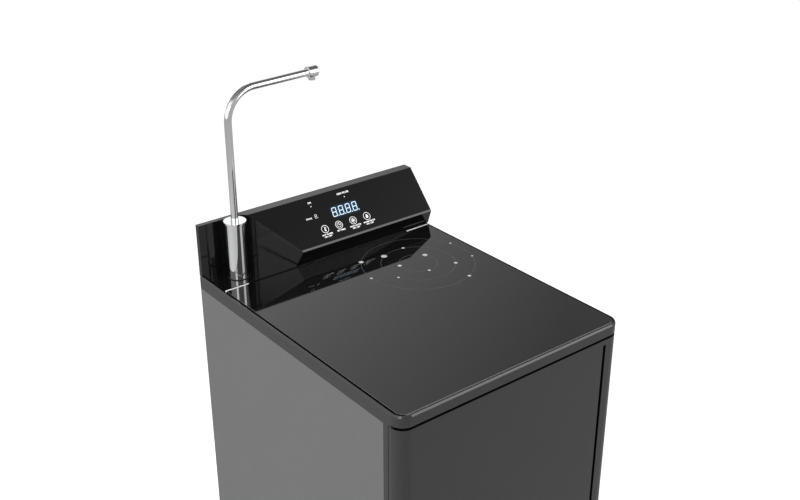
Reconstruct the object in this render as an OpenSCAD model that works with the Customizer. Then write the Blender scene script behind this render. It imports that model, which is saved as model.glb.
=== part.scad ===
// Floor-standing hot and cold water purifier: cabinet with a hinged front door, glass worktop,
// gloss control console and swivel spout. Origin on the floor under the middle of the cabinet,
// front towards -Y, +X to the right seen from the front, +Z up. Millimetres.

/* [Cabinet] */
// Width of the cabinet
cabinet_w = 340; // [330:1:420]
// Depth of the cabinet
cabinet_d = 420; // [410:1:480]
// Height of the glass worktop above the floor
top_h = 900; // [880:1:1000]
// Radius of the two front corners
corner_r = 16; // [14:1:20]
// Thickness of the folded steel sheets
sheet_t = 1; // [0.8:0.1:1.5]
// Width of the folded flanges on the sheets
flange_w = 14; // [10:1:18]
// Height of the feet
foot_h = 12; // [8:1:20]
// Radius of a foot
foot_r = 17; // [12:1:22]
// Distance of the foot axes from the cabinet sides
foot_inset = 42; // [30:1:60]
// Height of the moulded plinth tray
base_h = 38; // [32:1:60]
// Wall of the moulded plinth tray
base_wall = 3; // [2.5:0.5:4]
// Width of the solid ledges at the front and rear of the plinth tray
base_ledge = 32; // [30:1:40]
// Width of the plinth tray's side ledges
base_side = 5; // [4:0.5:8]
// Depth of the rear pocket that holds the condenser
rear_pocket = 27; // [24:1:36]

/* [Door] */
// Thickness of the door
door_t = 20; // [18:1:24]
// Gap above and below the door
door_gap = 3.4; // [1.6:0.1:4]
// Gap between the door's back and the frame
door_back_gap = 1.9; // [1.8:0.1:3]
// Wall of the door shell
door_wall = 3; // [2:0.5:4]
// Width of the solid hinge side of the door
hinge_side_w = 16; // [13:1:24]
// Distance of the hinge axis from the door's side and back
hinge_inset = 4; // [3.5:0.1:4.5]
// Radius of the hinge pins
hinge_pin_r = 1.5; // [1:0.1:1.8]
// Length of a hinge pin inside the door
hinge_pin_in = 10; // [6:1:16]
// Running clearance of the hinge pins
hinge_fit = 0.05; // [0.02:0.01:0.1]
// Distance of the pull groove from the right side
groove_inset = 26.6; // [24:0.1:40]
// Width of the pull groove
groove_w = 4.6; // [3:0.1:5]
// Depth of the pull groove
groove_depth = 7; // [5:0.5:9]
// Distance of the groove's round ends from the door's ends
groove_end = 6.5; // [4:0.5:20]

/* [Frame] */
// Depth of the frame stiles and rails
stile_d = 7.1; // [6:0.1:12]
// Width of the stiles
stile_w = 20; // [16:1:24]
// Height of the top and bottom rails
rail_h = 30; // [20:1:50]
// Leg width of the rear posts
post_w = 15; // [14:1:20]
// Distance of the partition from the rear face of the frame
bay_d = 121; // [116:1:140]
// Height of the tank shelf above the floor
shelf_z = 500; // [440:1:520]

/* [Worktop] */
// Height of the top cover's skirt
skirt_h = 18.2; // [16:0.1:24]
// Height by which the rim lies below the glass
rim_drop = 0.8; // [0:0.1:1]
// Extra height of the cover's front edge above its sides
front_notch = 4; // [3:0.5:6]
// Wall of the top cover's rim
rim_wall = 2.2; // [2:0.1:4]
// Width of the bevel on the rim's upper edge
rim_bevel_w = 1.3; // [0.6:0.1:1.6]
// Height of the bevel on the rim's upper edge
rim_bevel_h = 2.2; // [1:0.1:3]
// Thickness of the cover's deck under the glass
cover_t = 4; // [3:0.5:5]
// Thickness of the glass and of the rear deck
glass_t = 6; // [5:0.5:8]
// Gap at the glass's sides
glass_gap = 1.8; // [0.6:0.1:2]
// Gap in front of the glass
glass_front_gap = 1; // [0.6:0.1:2]
// Gap between the glass and the rear deck
deck_gap = 3.4; // [2:0.1:4]
// Depth of the rear deck in front of the console's foot
deck_lead = 1.4; // [1:0.1:4]

/* [Console] */
// Height of the console above the glass
console_h = 72.3; // [66:0.1:90]
// Thickness of the splash wall
splash_t = 7; // [6:0.5:9]
// Depth of the console's flat top
console_top_d = 14.4; // [10:0.1:16]
// Slope of the control face
slope_angle = 47.2; // [44:0.1:48]
// Horizontal run of the control face
slope_run = 46.1; // [44:0.1:50]
// Height of the console's front lip
lip_h = 2.4; // [2:0.1:4]
// Forward lean of the lip's face
lip_lead = 1.3; // [0.8:0.1:2]
// Set-back of the console's foot behind the lip
undercut = 5.5; // [3:0.5:8]
// Distance of the console's left end at the splash wall from the cabinet's left side
facet_back = 60; // [56:1:66]
// Distance of the console's left end at the lip from the cabinet's left side
facet_front = 120; // [110:1:126]
// Wall of the console shell
console_wall = 2.5; // [2:0.5:3]
// Thickness of the control panel lens
lens_t = 2; // [1.5:0.5:3]
// Width of the ledge that carries the lens
lens_ledge = 6; // [5:0.5:8]
// Distance between the lens and the control board
board_depth = 8; // [7:0.5:9]
// Thickness of the control board
board_t = 1.6; // [1:0.1:2]
// Width of the control board
board_w = 110; // [104:1:120]
// Distance of the board's middle from the cabinet's middle
board_x = 25; // [20:1:40]
// Spacing of the touch keys
key_pitch = 23.3; // [20:0.1:25]
// Distance of the keys below the console's top edge
key_s = 49.2; // [46:0.1:54]
// Radius of a touch key spring
key_r = 5; // [3:0.5:6]
// Width of the display
display_w = 46; // [40:1:60]
// Height of the display
display_h = 16; // [12:1:20]
// Distance of the display's middle below the console's top edge
display_s = 30.5; // [28:0.1:33]
// Distance of the indicator lamps below the console's top edge
led_s = 13.8; // [12:0.1:16]
// Radius of an indicator lamp
led_r = 1.5; // [1:0.1:2]

/* [Faucet] */
// Distance of the faucet axis from the cabinet's left side
faucet_inset = 38.5; // [34:0.5:42]
// Distance of the faucet axis from the cabinet's rear
faucet_back = 33.4; // [32:0.1:36]
// Radius of the faucet body
faucet_r = 12.75; // [11:0.25:15]
// Height of the faucet body above its gasket
faucet_h = 75.8; // [60:0.1:100]
// Thickness of the faucet gasket
gasket_t = 1; // [0.8:0.1:2]
// Radius of the threaded shank
shank_r = 5.6; // [5:0.1:6.2]
// Clearance round the shank
shank_gap = 0.4; // [0.2:0.1:1]
// Height of the shank nut
nut_h = 7; // [5:0.5:9]
// Width across the nut's flats
nut_flats = 19; // [16:1:22]
// Radius of the spout tube
tube_r = 4.8; // [4:0.1:5.2]
// Wall of the spout tube
tube_wall = 1; // [0.8:0.1:1.5]
// Wall of the spout's bush
bush_wall = 1.5; // [1:0.1:2]
// Running clearance of the spout in its bush
spout_fit = 0.05; // [0.02:0.01:0.1]
// Depth of the spout inside the faucet body
spout_in = 40; // [25:1:50]
// Radius of the swivel collar
collar_r = 14.5; // [13:0.5:16]
// Thickness of the swivel collar
collar_t = 2.3; // [1.2:0.1:3]
// Gap under the swivel collar
collar_gap = 0.2; // [0.1:0.05:0.4]
// Height of the spout's arm above the glass
arm_h = 248; // [200:1:300]
// Bend radius of the spout
bend_r = 40; // [30:1:50]
// Turn of the arm towards the rear, in the rest position
arm_turn = 4; // [0:1:20]
// Distance of the outlet from the faucet axis
outlet_reach = 131; // [110:1:150]
// Radius of the spout's end piece
end_r = 7.3; // [5.6:0.1:8]
// Length of the spout's end piece
end_l = 14.6; // [13:0.2:30]
// Radius of the outlet nozzle
nozzle_r = 4.6; // [3.5:0.1:5]
// Length of the nozzle below the end piece
nozzle_out = 3.5; // [2:0.5:8]

/* [Filters] */
// Spacing of the cartridges
filter_pitch = 78; // [74:1:80]
// Radius of a cartridge
filter_r = 34; // [28:1:36]
// Length of a cartridge's body
filter_h = 270; // [200:1:280]
// Radius of a cartridge's neck
neck_r = 14; // [10:0.5:18]
// Length of the neck inside the filter head
neck_in = 20; // [12:1:26]
// Running clearance of the neck
neck_fit = 0.06; // [0.02:0.01:0.1]
// Height of the filter head
head_h = 36; // [32:1:44]
// Distance of the filter head below the top cover
head_drop = 45; // [30:1:60]
// Distance of the cartridge axes from the partition
filter_y = 52; // [44:1:60]
// Radius of the membrane housing
membrane_r = 31; // [26:1:36]
// Length of the membrane housing
membrane_l = 290; // [240:1:300]

/* [Tanks and pump] */
// Radius of the hot tank
hot_r = 64; // [50:1:68]
// Height of the hot tank
hot_h = 200; // [150:1:260]
// Gap between the two tanks
tank_gap = 22; // [8:1:40]
// Height of the cold tank
cold_h = 220; // [160:1:280]
// Thickness of the heater band
band_t = 5; // [3:0.5:7]
// Radius of the compressor
compressor_r = 58; // [45:1:64]
// Height of the compressor's shell
compressor_h = 140; // [110:1:170]
// Radius of the booster pump's motor
pump_r = 36; // [28:1:42]
// Length of the booster pump's motor
pump_l = 95; // [70:1:110]

/* [Rear] */
// Radius of the condenser tube
cond_r = 2.5; // [2:0.1:3]
// Number of condenser runs
cond_n = 14; // [6:2:16]
// Spacing of the condenser runs
cond_pitch = 34; // [26:1:36]
// Length of a straight condenser run
cond_run = 240; // [180:1:250]
// Radius of a condenser wire
wire_r = 0.8; // [0.6:0.1:1]
// Number of condenser wires on each side
wire_n = 18; // [8:1:24]
// Radius of the bore that takes the water tube
port_r = 3.225; // [3.2:0.005:3.3]
// Depth of the bore that takes the water tube
port_depth = 16; // [12:1:20]
// Radius of the cord gland's bore
cord_r = 4; // [3:0.1:5]
// Width of a rocker switch
rocker_w = 14; // [10:0.5:18]
// Radius of a rocker's barrel
rocker_r = 10.5; // [8:0.5:12]
// Full tilt of a rocker
rocker_tilt = 16; // [8:1:20]
// Radius of a screw head
screw_head_r = 3.5; // [3:0.1:4]

/* [Hidden] */
$fn = 48;
eps = 0.01;
cut = 1;

charcoal = [0.24, 0.24, 0.25];
side_grey = [0.47, 0.48, 0.49];
gloss_black = [0.05, 0.05, 0.055];
chrome = [0.86, 0.87, 0.88];
steel = [0.7, 0.71, 0.72];
white = [0.93, 0.93, 0.92];

// Cabinet planes
foot_edge = 8;
foot_chamfer = 2;
foot_y0 = cabinet_d / 2 - base_ledge - foot_r - foot_edge;
partition_over = 20;
post_t = 1.2;
side_x = cabinet_w / 2;
front_y = -cabinet_d / 2;
rear_y = cabinet_d / 2;
base_top = foot_h + base_h;
base_floor = foot_h + base_wall;
door_back_y = front_y + door_t;
stile_y = door_back_y + door_back_gap;
panel_y = stile_y + stile_d;
partition_y = panel_y + bay_d;
back_y = rear_y - rear_pocket;
inner_x = side_x - sheet_t;

// Worktop planes
rim_top = top_h - rim_drop;
cover_bottom = rim_top - skirt_h;
cover_front = cover_bottom + front_notch;
pocket_z = top_h - glass_t;
cover_deck = pocket_z - cover_t;
glass_inset = rim_wall + glass_gap;
splash_y = rear_y - splash_t;
door_bottom = base_top + door_gap;
door_top = cover_front - door_gap;

// Console profile
console_top = top_h + console_h;
slope_y = rear_y - console_top_d;
slope_drop = slope_run * tan(slope_angle);
slope_l = slope_run / cos(slope_angle);
lip_y = slope_y - slope_run;
lip_top = console_top - slope_drop;
lip_bottom = lip_top - lip_h;
nose_y = lip_y - lip_lead;
foot_y = lip_y + undercut;
deck_y = foot_y - deck_lead;
glass_rear = deck_y - deck_gap;
facet_x0 = -side_x + facet_back;
facet_x1 = -side_x + facet_front;
nose_x = facet_x1 + (facet_x1 - facet_x0) * lip_lead / (splash_y - lip_y);
lens_setback = lens_t / sin(slope_angle);
board_gap = lens_t + console_wall + board_depth;
board_edge = lens_ledge / 2;

// Faucet
faucet_x = -side_x + faucet_inset;
faucet_y = rear_y - faucet_back;
faucet_foot = top_h + gasket_t;
faucet_top = faucet_foot + faucet_h;
spout_bottom = faucet_top - spout_in;
tube_end_gap = 1;
tube_bottom = spout_bottom + tube_end_gap;
collar_z = faucet_top + collar_gap;
arm_z = top_h + arm_h;
end_start = outlet_reach - end_l / 2;
nozzle_clear = 0.3;
nozzle_in = end_r - tube_r - nozzle_clear;
shank_tail = 14;
shank_bottom = cover_deck - nut_h - shank_tail;
tube_bore_r = tube_r - tube_wall;

// Door hinge
hinge_x = -side_x + hinge_inset;
hinge_y = door_back_y - hinge_inset;
groove_x = side_x - groove_inset;

// Filter bay
head_top = cover_bottom - head_drop;
head_bottom = head_top - head_h;
filter_axis_y = partition_y - filter_y;
filter_gap = 2;
filter_top = head_bottom - filter_gap;
filter_grip_h = 14;
filter_bottom = filter_top - filter_h;
membrane_drop = 16;
membrane_off = 9;
membrane_round = 8;
membrane_z = filter_bottom - filter_grip_h - membrane_r - membrane_drop;
membrane_y = partition_y - membrane_r - membrane_off;

// Rear bay
shelf_top = shelf_z + sheet_t;
tank_side = 9;
tank_bay_d = back_y - post_w - partition_y - sheet_t;
tank_y = partition_y + sheet_t + tank_bay_d / 2;
hot_x = -inner_x + hot_r + band_t + tank_side;
cold_room = 2 * (inner_x - tank_side - hot_r - band_t) - tank_gap;
cold_r = min(cold_room, tank_bay_d) / 2;
cold_x = inner_x - cold_r - tank_side;

// Rear face
cond_drop = 120;
cond_y = back_y + rear_pocket / 2;
cond_z = top_h - cond_drop - (cond_n - 1) * cond_pitch;
port_z = 96;
port_pitch = 36;
inlet_inset = 45;
gland_inset = 40;
drain_off = 42;
switch_off = 62;
switch_rise = 60;
inlet_x = -side_x + inlet_inset;
waste_x = inlet_x + port_pitch;
drain_x = waste_x + drain_off;
gland_x = side_x - gland_inset;
switch_x = gland_x - switch_off;
switch_z = port_z + switch_rise;
rocker_gap = 0.3;
rocker_land = 6;
rocker_pitch = rocker_w + rocker_land;
trunnion_r = 1.5;
trunnion_l = 1.5;
trunnion_w = rocker_w + 2 * trunnion_l;
trunnion_fit = 0.05;
rocker_y = back_y + sheet_t;
screw_x = inner_x - post_w / 2 - post_t;
screw_shank_r = 1.7;
screw_l = 6;
screw_head_h = 2.2;
screw_head_round = 0.8;
screw_n = 4;
screw_end = 20;
screw_pitch = (cover_bottom - base_top - 2 * screw_end) / (screw_n - 1);

// Sizes of the smaller fixed details
seat_gap = 0.02;
deck_fit = 0.2;
hole_gap = 0.15;
hinge_boss_r = 6;
harness_r = 8;
harness_edge = 4;
pin_top = pocket_z - 1;
pin_end_gap = 0.5;
washer_gap = 0.1;
strike_gap = 0.5;
magnet_w = 10;
magnet_h = 40;
magnet_t = 4;
magnet_x = side_x - stile_w / 2 - magnet_w / 2;
magnet_rise = 220;
magnet_z = (door_top + door_bottom) / 2 + magnet_rise;
facet_wall = 2 * console_wall;
window_x = facet_x1 + lens_ledge;
window_w = side_x - lens_ledge - window_x;
boss_r = 2.2;
board_margin = 2;
display_x = 40;
digit_x = -7.5;
digit_w = 10;
digit_h = 12;
key_n = 4;
key_x = 31.6;
key_wall = 1;
led_x = [-7.7, 47.5];
gasket_lip = 0.4;
bush_r = tube_r + spout_fit + bush_wall;
waterway_r = 3;
end_socket = 6;
end_round = 1;
nozzle_wall = 1.2;
filter_n = 4;
filter_round = 6;
grip_t = 10;
grip_l = 1.4 * filter_r;
clip_w = 18;
clip_t = 3;
compressor_round = 20;
compressor_off = 20;
grommet_r = 9;
grommet_h = 12;
grommet_inset = 10;
plate_edge = 12;
plate_t = 3;
tank_round = 12;
tank_port_r = 7;
tank_port_h = 15;
hot_wall = 2;
cold_wall = 8;
cold_port = cold_r / 2;
band_z = 40;
band_h = 60;
line_r = 3.175;
line_bend = 14;
line_rise = 36;
line_gap = 1.2;
pump_foot_t = 4;
pump_head_l = 50;
pump_head_edge = 6;
pump_lap = 10;
pump_round = 5;
saddle_w = 15;
valve_w = 60;
valve_d = 32;
valve_h = 30;
valve_coil_h = 28;
valve_coil_r = 14;
valve_off = 6;
valve_drop = 90;
valve_x = -inner_x + valve_off;
valve_z = membrane_z - membrane_r - valve_drop;
supply_w = 150;
supply_d = 55;
supply_h = 90;
supply_x = -20;
supply_drop = 60;
supply_z = valve_z - supply_drop;
wire_over = 12;
wire_gap = 0.1;
wire_edge = 8;
cond_clip_w = 6;
cond_clip_h = 12;
fitting_r = 6.9;
collet_r = 7.5;
port_flange_r = 10;
port_flange_t = 4;
port_way_r = 2;
port_out = 20;
port_in = 18;
drain_r = 8;
drain_in = 16;
drain_cap_r = 12;
drain_cap_h = 14;
drain_round = 2;
gland_r = 8;
gland_in = 14;
gland_out = 18;
gland_cap_r = 9.5;
gland_hex_r = 12;
gland_hex_h = 5;
gland_round = 3;
switch_wall = 2;
switch_lip = 3;
switch_body_w = 2 * rocker_pitch + 2 * switch_wall;
switch_body_h = 2 * (rocker_r + rocker_gap + switch_wall);
switch_body_d = rocker_r + 2 * switch_wall;
rocker_face = 4;

// Plan outline of the cabinet with round front corners, drawn in by an inset, cut off at the back and led
// towards the front
module cabinet_outline(inset, back = rear_y, lead = 0) {
    r = corner_r - inset;
    w = cabinet_w - 2 * inset;
    front = front_y + inset - lead;
    intersection() {
        union() {
            translate([-w / 2 + r, front])
                square([w - 2 * r, cabinet_d]);
            translate([-w / 2, front + r])
                square([w, cabinet_d]);
            for (side = [-1, 1])
                translate([side * (w / 2 - r), front + r])
                    circle(r);
        }
        translate([-side_x, front])
            square([cabinet_w, back - front]);
    }
}

// Upright can with rounded ends, standing on z = 0
module can(r, h, round_r) {
    rotate_extrude()
        union() {
            square([r - round_r, h]);
            translate([0, round_r])
                square([r, h - 2 * round_r]);
            for (z = [round_r, h - round_r])
                translate([r - round_r, z])
                    circle(round_r);
        }
}

// Tube with an open bore, standing on z = 0
module ring(r_out, r_in, h) {
    difference() {
        cylinder(r = r_out, h = h);
        translate([0, 0, -cut])
            cylinder(r = r_in, h = h + 2 * cut);
    }
}

// Places a child on the control face: x across, y up the slope, z outwards
module on_slope() {
    translate([0, slope_y, console_top])
        rotate([slope_angle, 0, 0])
            children();
}

// Turns a child that stands on z = 0 so that it leaves the back panel towards the rear
module on_back(x, z) {
    translate([x, back_y + sheet_t, z])
        rotate([-90, 0, 0])
            children();
}

// Moulded plinth tray that carries the whole cabinet
module base_tray() {
    color(charcoal)
    difference() {
        translate([0, 0, foot_h])
            linear_extrude(base_h)
                cabinet_outline(0);
        translate([-side_x + base_side, front_y + base_ledge, base_floor])
            cube([cabinet_w - 2 * base_side, cabinet_d - 2 * base_ledge, base_h]);
        for (y = [front_y + base_wall, rear_y - base_ledge + base_wall])
            translate([-side_x + corner_r, y, foot_h - cut])
                cube([cabinet_w - 2 * corner_r, base_ledge - 2 * base_wall, base_h - base_wall + cut]);
        translate([hinge_x, hinge_y, base_top - hinge_pin_in])
            cylinder(r = hinge_pin_r + hinge_fit / 2, h = hinge_pin_in + cut);
    }
}

// Four moulded feet
module feet() {
    color(gloss_black)
    for (x = [-1, 1], y = [-1, 1])
        translate([x * (side_x - foot_inset), y * foot_y0, 0])
            rotate_extrude()
                polygon([
                    [0, 0], [foot_r - foot_chamfer, 0], [foot_r, foot_chamfer],
                    [foot_r, foot_h], [0, foot_h]
                ]);
}

// Upright of the front frame; its outer edge shows between the door and the side panel
module stile(side) {
    x = side > 0 ? side_x - stile_w : -side_x;
    translate([x, stile_y, base_top])
        cube([stile_w, stile_d, cover_bottom - base_top]);
}

module stile_left() {
    color(charcoal)
    stile(-1);
}

// The right upright holds the door magnet in a pocket
module stile_right() {
    color(charcoal)
    difference() {
        stile(1);
        translate([magnet_x, stile_y - cut, magnet_z])
            cube([magnet_w, magnet_t + cut, magnet_h]);
    }
}

module rail(z) {
    translate([-side_x + stile_w, stile_y, z])
        cube([cabinet_w - 2 * stile_w, stile_d, rail_h]);
}

module frame_rails() {
    color(charcoal)
    for (z = [base_top, cover_bottom - rail_h])
        rail(z);
}

// Height of one of the screws in a row
function screw_z(i) = base_top + screw_end + i * screw_pitch;

// Steel angle at a rear corner, between the side panel and the back panel
module rear_post(side) {
    x0 = side > 0 ? inner_x - post_w : -inner_x;
    x1 = side > 0 ? inner_x - post_t : -inner_x;
    difference() {
        translate([0, 0, base_top])
            union() {
                translate([x0, back_y - post_t, 0])
                    cube([post_w, post_t, cover_bottom - base_top]);
                translate([x1, back_y - post_w, 0])
                    cube([post_t, post_w, cover_bottom - base_top]);
            }
        for (i = [0 : screw_n - 1])
            translate([side * screw_x, back_y + cut, screw_z(i)])
                rotate([90, 0, 0])
                    cylinder(r = screw_shank_r, h = post_w);
    }
}

module rear_posts() {
    color(steel)
    for (side = [-1, 1])
        rear_post(side);
}

// Painted steel side with folded front and rear edges
module side_panel(side) {
    h = cover_bottom - base_top;
    d = rear_y - panel_y;
    mirror([side > 0 ? 0 : 1, 0, 0])
        translate([0, 0, base_top]) {
            translate([inner_x, panel_y, 0])
                cube([sheet_t, d, h]);
            for (y = [panel_y, rear_y - sheet_t])
                translate([side_x - flange_w, y, 0])
                    cube([flange_w, sheet_t, h]);
        }
}

module side_panel_left() {
    color(side_grey)
    side_panel(-1);
}

module side_panel_right() {
    color(side_grey)
    side_panel(1);
}

// Rear sheet between the posts, pierced for the fittings and the screws
module back_panel() {
    color(steel)
    difference() {
        translate([-inner_x, back_y, base_top])
            cube([2 * inner_x, sheet_t, cover_bottom - base_top]);
        for (x = [inlet_x, waste_x])
            on_back(x, port_z)
                translate([0, 0, -sheet_t - cut])
                    cylinder(r = fitting_r + hole_gap, h = sheet_t + 2 * cut);
        for (i = [0, 1])
            on_back(drain_x + i * port_pitch, port_z)
                translate([0, 0, -sheet_t - cut])
                    cylinder(r = drain_r + hole_gap, h = sheet_t + 2 * cut);
        on_back(gland_x, port_z)
            translate([0, 0, -sheet_t - cut])
                cylinder(r = gland_r + hole_gap, h = sheet_t + 2 * cut);
        switch_block(hole_gap, back_y - cut, sheet_t + 2 * cut);
        for (side = [-1, 1], i = [0 : screw_n - 1])
            translate([side * screw_x, back_y + sheet_t + cut, screw_z(i)])
                rotate([90, 0, 0])
                    cylinder(r = screw_shank_r + hole_gap, h = sheet_t + 2 * cut);
    }
}

// Upright sheet between the filter bay and the tanks
module partition() {
    h = head_top + partition_over - base_top;
    color(steel)
    difference() {
        translate([0, 0, base_top]) {
            translate([-inner_x, partition_y, 0])
                cube([2 * inner_x, sheet_t, h]);
            for (x = [-inner_x, inner_x - sheet_t])
                translate([x, partition_y - flange_w, 0])
                    cube([sheet_t, flange_w, h]);
        }
        translate([inlet_x, partition_y + 2 * cut, port_z])
            rotate([90, 0, 0])
                cylinder(r = line_r + hole_gap, h = 4 * cut);
    }
}

// Sheet shelf that carries both tanks
module tank_shelf() {
    color(steel)
    translate([-inner_x, partition_y + sheet_t, shelf_z])
        cube([2 * inner_x, tank_bay_d, sheet_t]);
}

// Cutter that bevels the rim's upper outer edge: outwards is +x, up is +y
module rim_edge() {
    polygon([
        [-rim_bevel_w * (1 + cut / rim_bevel_h), cut],
        [cut, cut],
        [cut, -rim_bevel_h * (1 + cut / rim_bevel_w)]
    ]);
}

module rim_edge_cut() {
    for (side = [0, 1])
        mirror([side, 0, 0]) {
            translate([side_x, rear_y + cut, rim_top])
                rotate([90, 0, 0])
                    linear_extrude(cabinet_d - corner_r + cut)
                        rim_edge();
            translate([side_x - corner_r, front_y + corner_r, rim_top])
                rotate([0, 0, -90])
                    rotate_extrude(angle = 90)
                        translate([corner_r, 0])
                            rim_edge();
        }
    translate([side_x - corner_r, front_y, rim_top])
        rotate([90, 0, -90])
            linear_extrude(cabinet_w - 2 * corner_r)
                rim_edge();
}

// Moulded top cover: a deck with a rim that frames the glass and a skirt over the panels
module top_cover() {
    color(charcoal)
    difference() {
        translate([0, 0, cover_bottom])
            linear_extrude(rim_top - cover_bottom)
                cabinet_outline(0);
        translate([0, 0, pocket_z])
            linear_extrude(glass_t + cut)
                cabinet_outline(rim_wall, splash_y);
        difference() {
            translate([0, 0, cover_bottom - cut])
                linear_extrude(cover_deck - cover_bottom + cut)
                    cabinet_outline(rim_wall, rear_y - rim_wall);
            translate([hinge_x, hinge_y, cover_front])
                cylinder(r = hinge_boss_r, h = glass_t + cover_t);
        }
        translate([-side_x - cut, front_y - cut, cover_bottom - cut])
            cube([cabinet_w + 2 * cut, stile_y - front_y + cut, front_notch + cut]);
        translate([faucet_x, faucet_y, cover_deck - cut])
            cylinder(r = shank_r + shank_gap, h = cover_t + 2 * cut);
        translate([board_x, splash_y - harness_r - harness_edge, cover_deck - cut])
            cylinder(r = harness_r, h = cover_t + 2 * cut);
        translate([hinge_x, hinge_y, cover_front - cut])
            cylinder(r = hinge_pin_r + hinge_fit / 2, h = pin_top - cover_front + cut);
        rim_edge_cut();
    }
}

// Toughened glass worktop, bonded into the cover
module glass_top() {
    color(gloss_black)
    translate([0, 0, pocket_z])
        linear_extrude(glass_t)
            cabinet_outline(glass_inset, glass_rear, glass_gap - glass_front_gap);
}

// Gloss deck behind the glass that carries the faucet and the console
module deck_plate() {
    color(gloss_black)
    difference() {
        translate([-side_x + glass_inset, deck_y, pocket_z])
            cube([cabinet_w - 2 * glass_inset, splash_y - deck_fit - deck_y, glass_t]);
        translate([faucet_x, faucet_y, pocket_z - cut])
            cylinder(r = shank_r + shank_gap, h = glass_t + 2 * cut);
        translate([board_x, splash_y - harness_r - harness_edge, pocket_z - cut])
            cylinder(r = harness_r, h = glass_t + 2 * cut);
    }
}

// Stretches a (y, z) outline along X
module along_x(x, w) {
    translate([x, 0, 0])
        rotate([90, 0, 90])
            linear_extrude(w)
                children();
}

// Upright block over the console's plan, with its slanted left end moved right by a shift
module console_plan(shift, right) {
    translate([0, 0, top_h - cut])
        linear_extrude(console_h + 2 * cut)
            polygon([
                [facet_x0 + shift, splash_y], [nose_x + shift, nose_y], [right, nose_y],
                [right, rear_y], [facet_x0 + shift, rear_y]
            ]);
}

// Layer of the control face between two depths under its surface, and so far past the right side
module face_layer(depth, t, past = 0) {
    intersection() {
        on_slope()
            translate([-side_x, -slope_l, -depth - t])
                cube([cabinet_w + past, slope_l, t]);
        console_plan(0, side_x + past);
    }
}

// Gloss console: splash wall and sloping control box with a slanted left end and a leaning lip
module console_shell() {
    inner_y = console_wall + lens_setback + console_wall / sin(slope_angle);
    inner_top = console_top - console_wall;
    color(gloss_black) {
        difference() {
            union() {
                translate([-side_x, splash_y, rim_top])
                    cube([cabinet_w, splash_t, console_top - rim_top]);
                intersection() {
                    along_x(-side_x, cabinet_w)
                        polygon([
                            [foot_y, top_h], [nose_y, lip_bottom], [lip_y, lip_top],
                            [slope_y, console_top], [rear_y, console_top], [rear_y, top_h]
                        ]);
                    console_plan(0, side_x);
                }
            }
            face_layer(-console_h, console_h + lens_t, cut);
            intersection() {
                along_x(-side_x, cabinet_w)
                    polygon([
                        [foot_y + console_wall, top_h - cut],
                        [lip_y + console_wall, lip_top - (inner_y - 2 * console_wall) * tan(slope_angle)],
                        [slope_y + inner_y - console_wall - console_wall / tan(slope_angle), inner_top],
                        [rear_y - console_wall, inner_top], [rear_y - console_wall, top_h - cut]
                    ]);
                console_plan(facet_wall, side_x - console_wall);
            }
            on_slope()
                translate([window_x, lens_ledge - slope_l, -lens_t - console_wall - cut])
                    cube([window_w, slope_l - 2 * lens_ledge, console_wall + 2 * cut]);
        }
        for (x = [-1, 1], y = [-board_edge, board_edge - slope_l])
            on_slope()
                translate([board_x + x * (board_w / 2 - board_edge), y, -board_gap])
                    cylinder(r = boss_r, h = board_depth + console_wall / 2);
    }
}

// Smoked panel over the whole control face
module control_lens() {
    color(gloss_black)
    face_layer(0, lens_t);
}

// Circuit board on four bosses under the lens
module control_board() {
    color("darkgreen")
    on_slope()
        translate([board_x - board_w / 2, board_margin - slope_l, -board_gap - board_t])
            cube([board_w, slope_l - 2 * board_margin, board_t]);
}

// Stands a child on the board, at x across and s down the control face
module on_board(x, s) {
    on_slope()
        translate([x, -s, -board_gap])
            children();
}

// Four-digit display and the small single digit beside it
module display_module() {
    color(white) {
        on_board(display_x - display_w / 2, display_s + display_h / 2)
            cube([display_w, display_h, board_gap - lens_t]);
        on_board(digit_x - digit_w / 2, display_s + digit_h / 2)
            cube([digit_w, digit_h, board_gap - lens_t]);
    }
}

// Conductive key springs that press against the back of the lens
module touch_springs() {
    color(steel)
    for (i = [0 : key_n - 1])
        on_board(key_x + (i - (key_n - 1) / 2) * key_pitch, key_s)
            ring(key_r, key_r - key_wall, board_gap - lens_t);
}

module indicator_lamps() {
    color(white)
    for (x = led_x)
        on_board(x, led_s)
            cylinder(r = led_r, h = board_gap - lens_t);
}

// Seal under the faucet body
module faucet_gasket() {
    color(gloss_black)
    translate([faucet_x, faucet_y, top_h])
        ring(faucet_r + gasket_lip, shank_r + shank_gap, gasket_t);
}

// Chrome body with its threaded shank, bored for the bush and the water way
module faucet_body() {
    color(chrome)
    translate([faucet_x, faucet_y, 0])
        difference() {
            union() {
                translate([0, 0, faucet_foot])
                    cylinder(r = faucet_r, h = faucet_h);
                translate([0, 0, shank_bottom])
                    cylinder(r = shank_r, h = faucet_foot - shank_bottom);
            }
            translate([0, 0, spout_bottom])
                cylinder(r = bush_r + seat_gap, h = spout_in + cut);
            translate([0, 0, shank_bottom - cut])
                cylinder(r = waterway_r, h = faucet_h + faucet_foot - shank_bottom);
        }
}

module faucet_nut() {
    color("goldenrod")
    translate([faucet_x, faucet_y, cover_deck - nut_h])
        difference() {
            cylinder(r = nut_flats / sqrt(3), h = nut_h, $fn = 6);
            translate([0, 0, -cut])
                cylinder(r = shank_r + seat_gap, h = nut_h + 2 * cut);
        }
}

// Plastic sleeve in the faucet body, in which the spout turns
module spout_bush() {
    color(white)
    translate([faucet_x, faucet_y, spout_bottom])
        ring(bush_r, tube_r + spout_fit, spout_in);
}

// Places a child in the spout's own frame: the arm runs along +x from the faucet axis
module on_arm() {
    translate([faucet_x, faucet_y, 0])
        rotate([0, 0, arm_turn])
            children();
}

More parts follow.
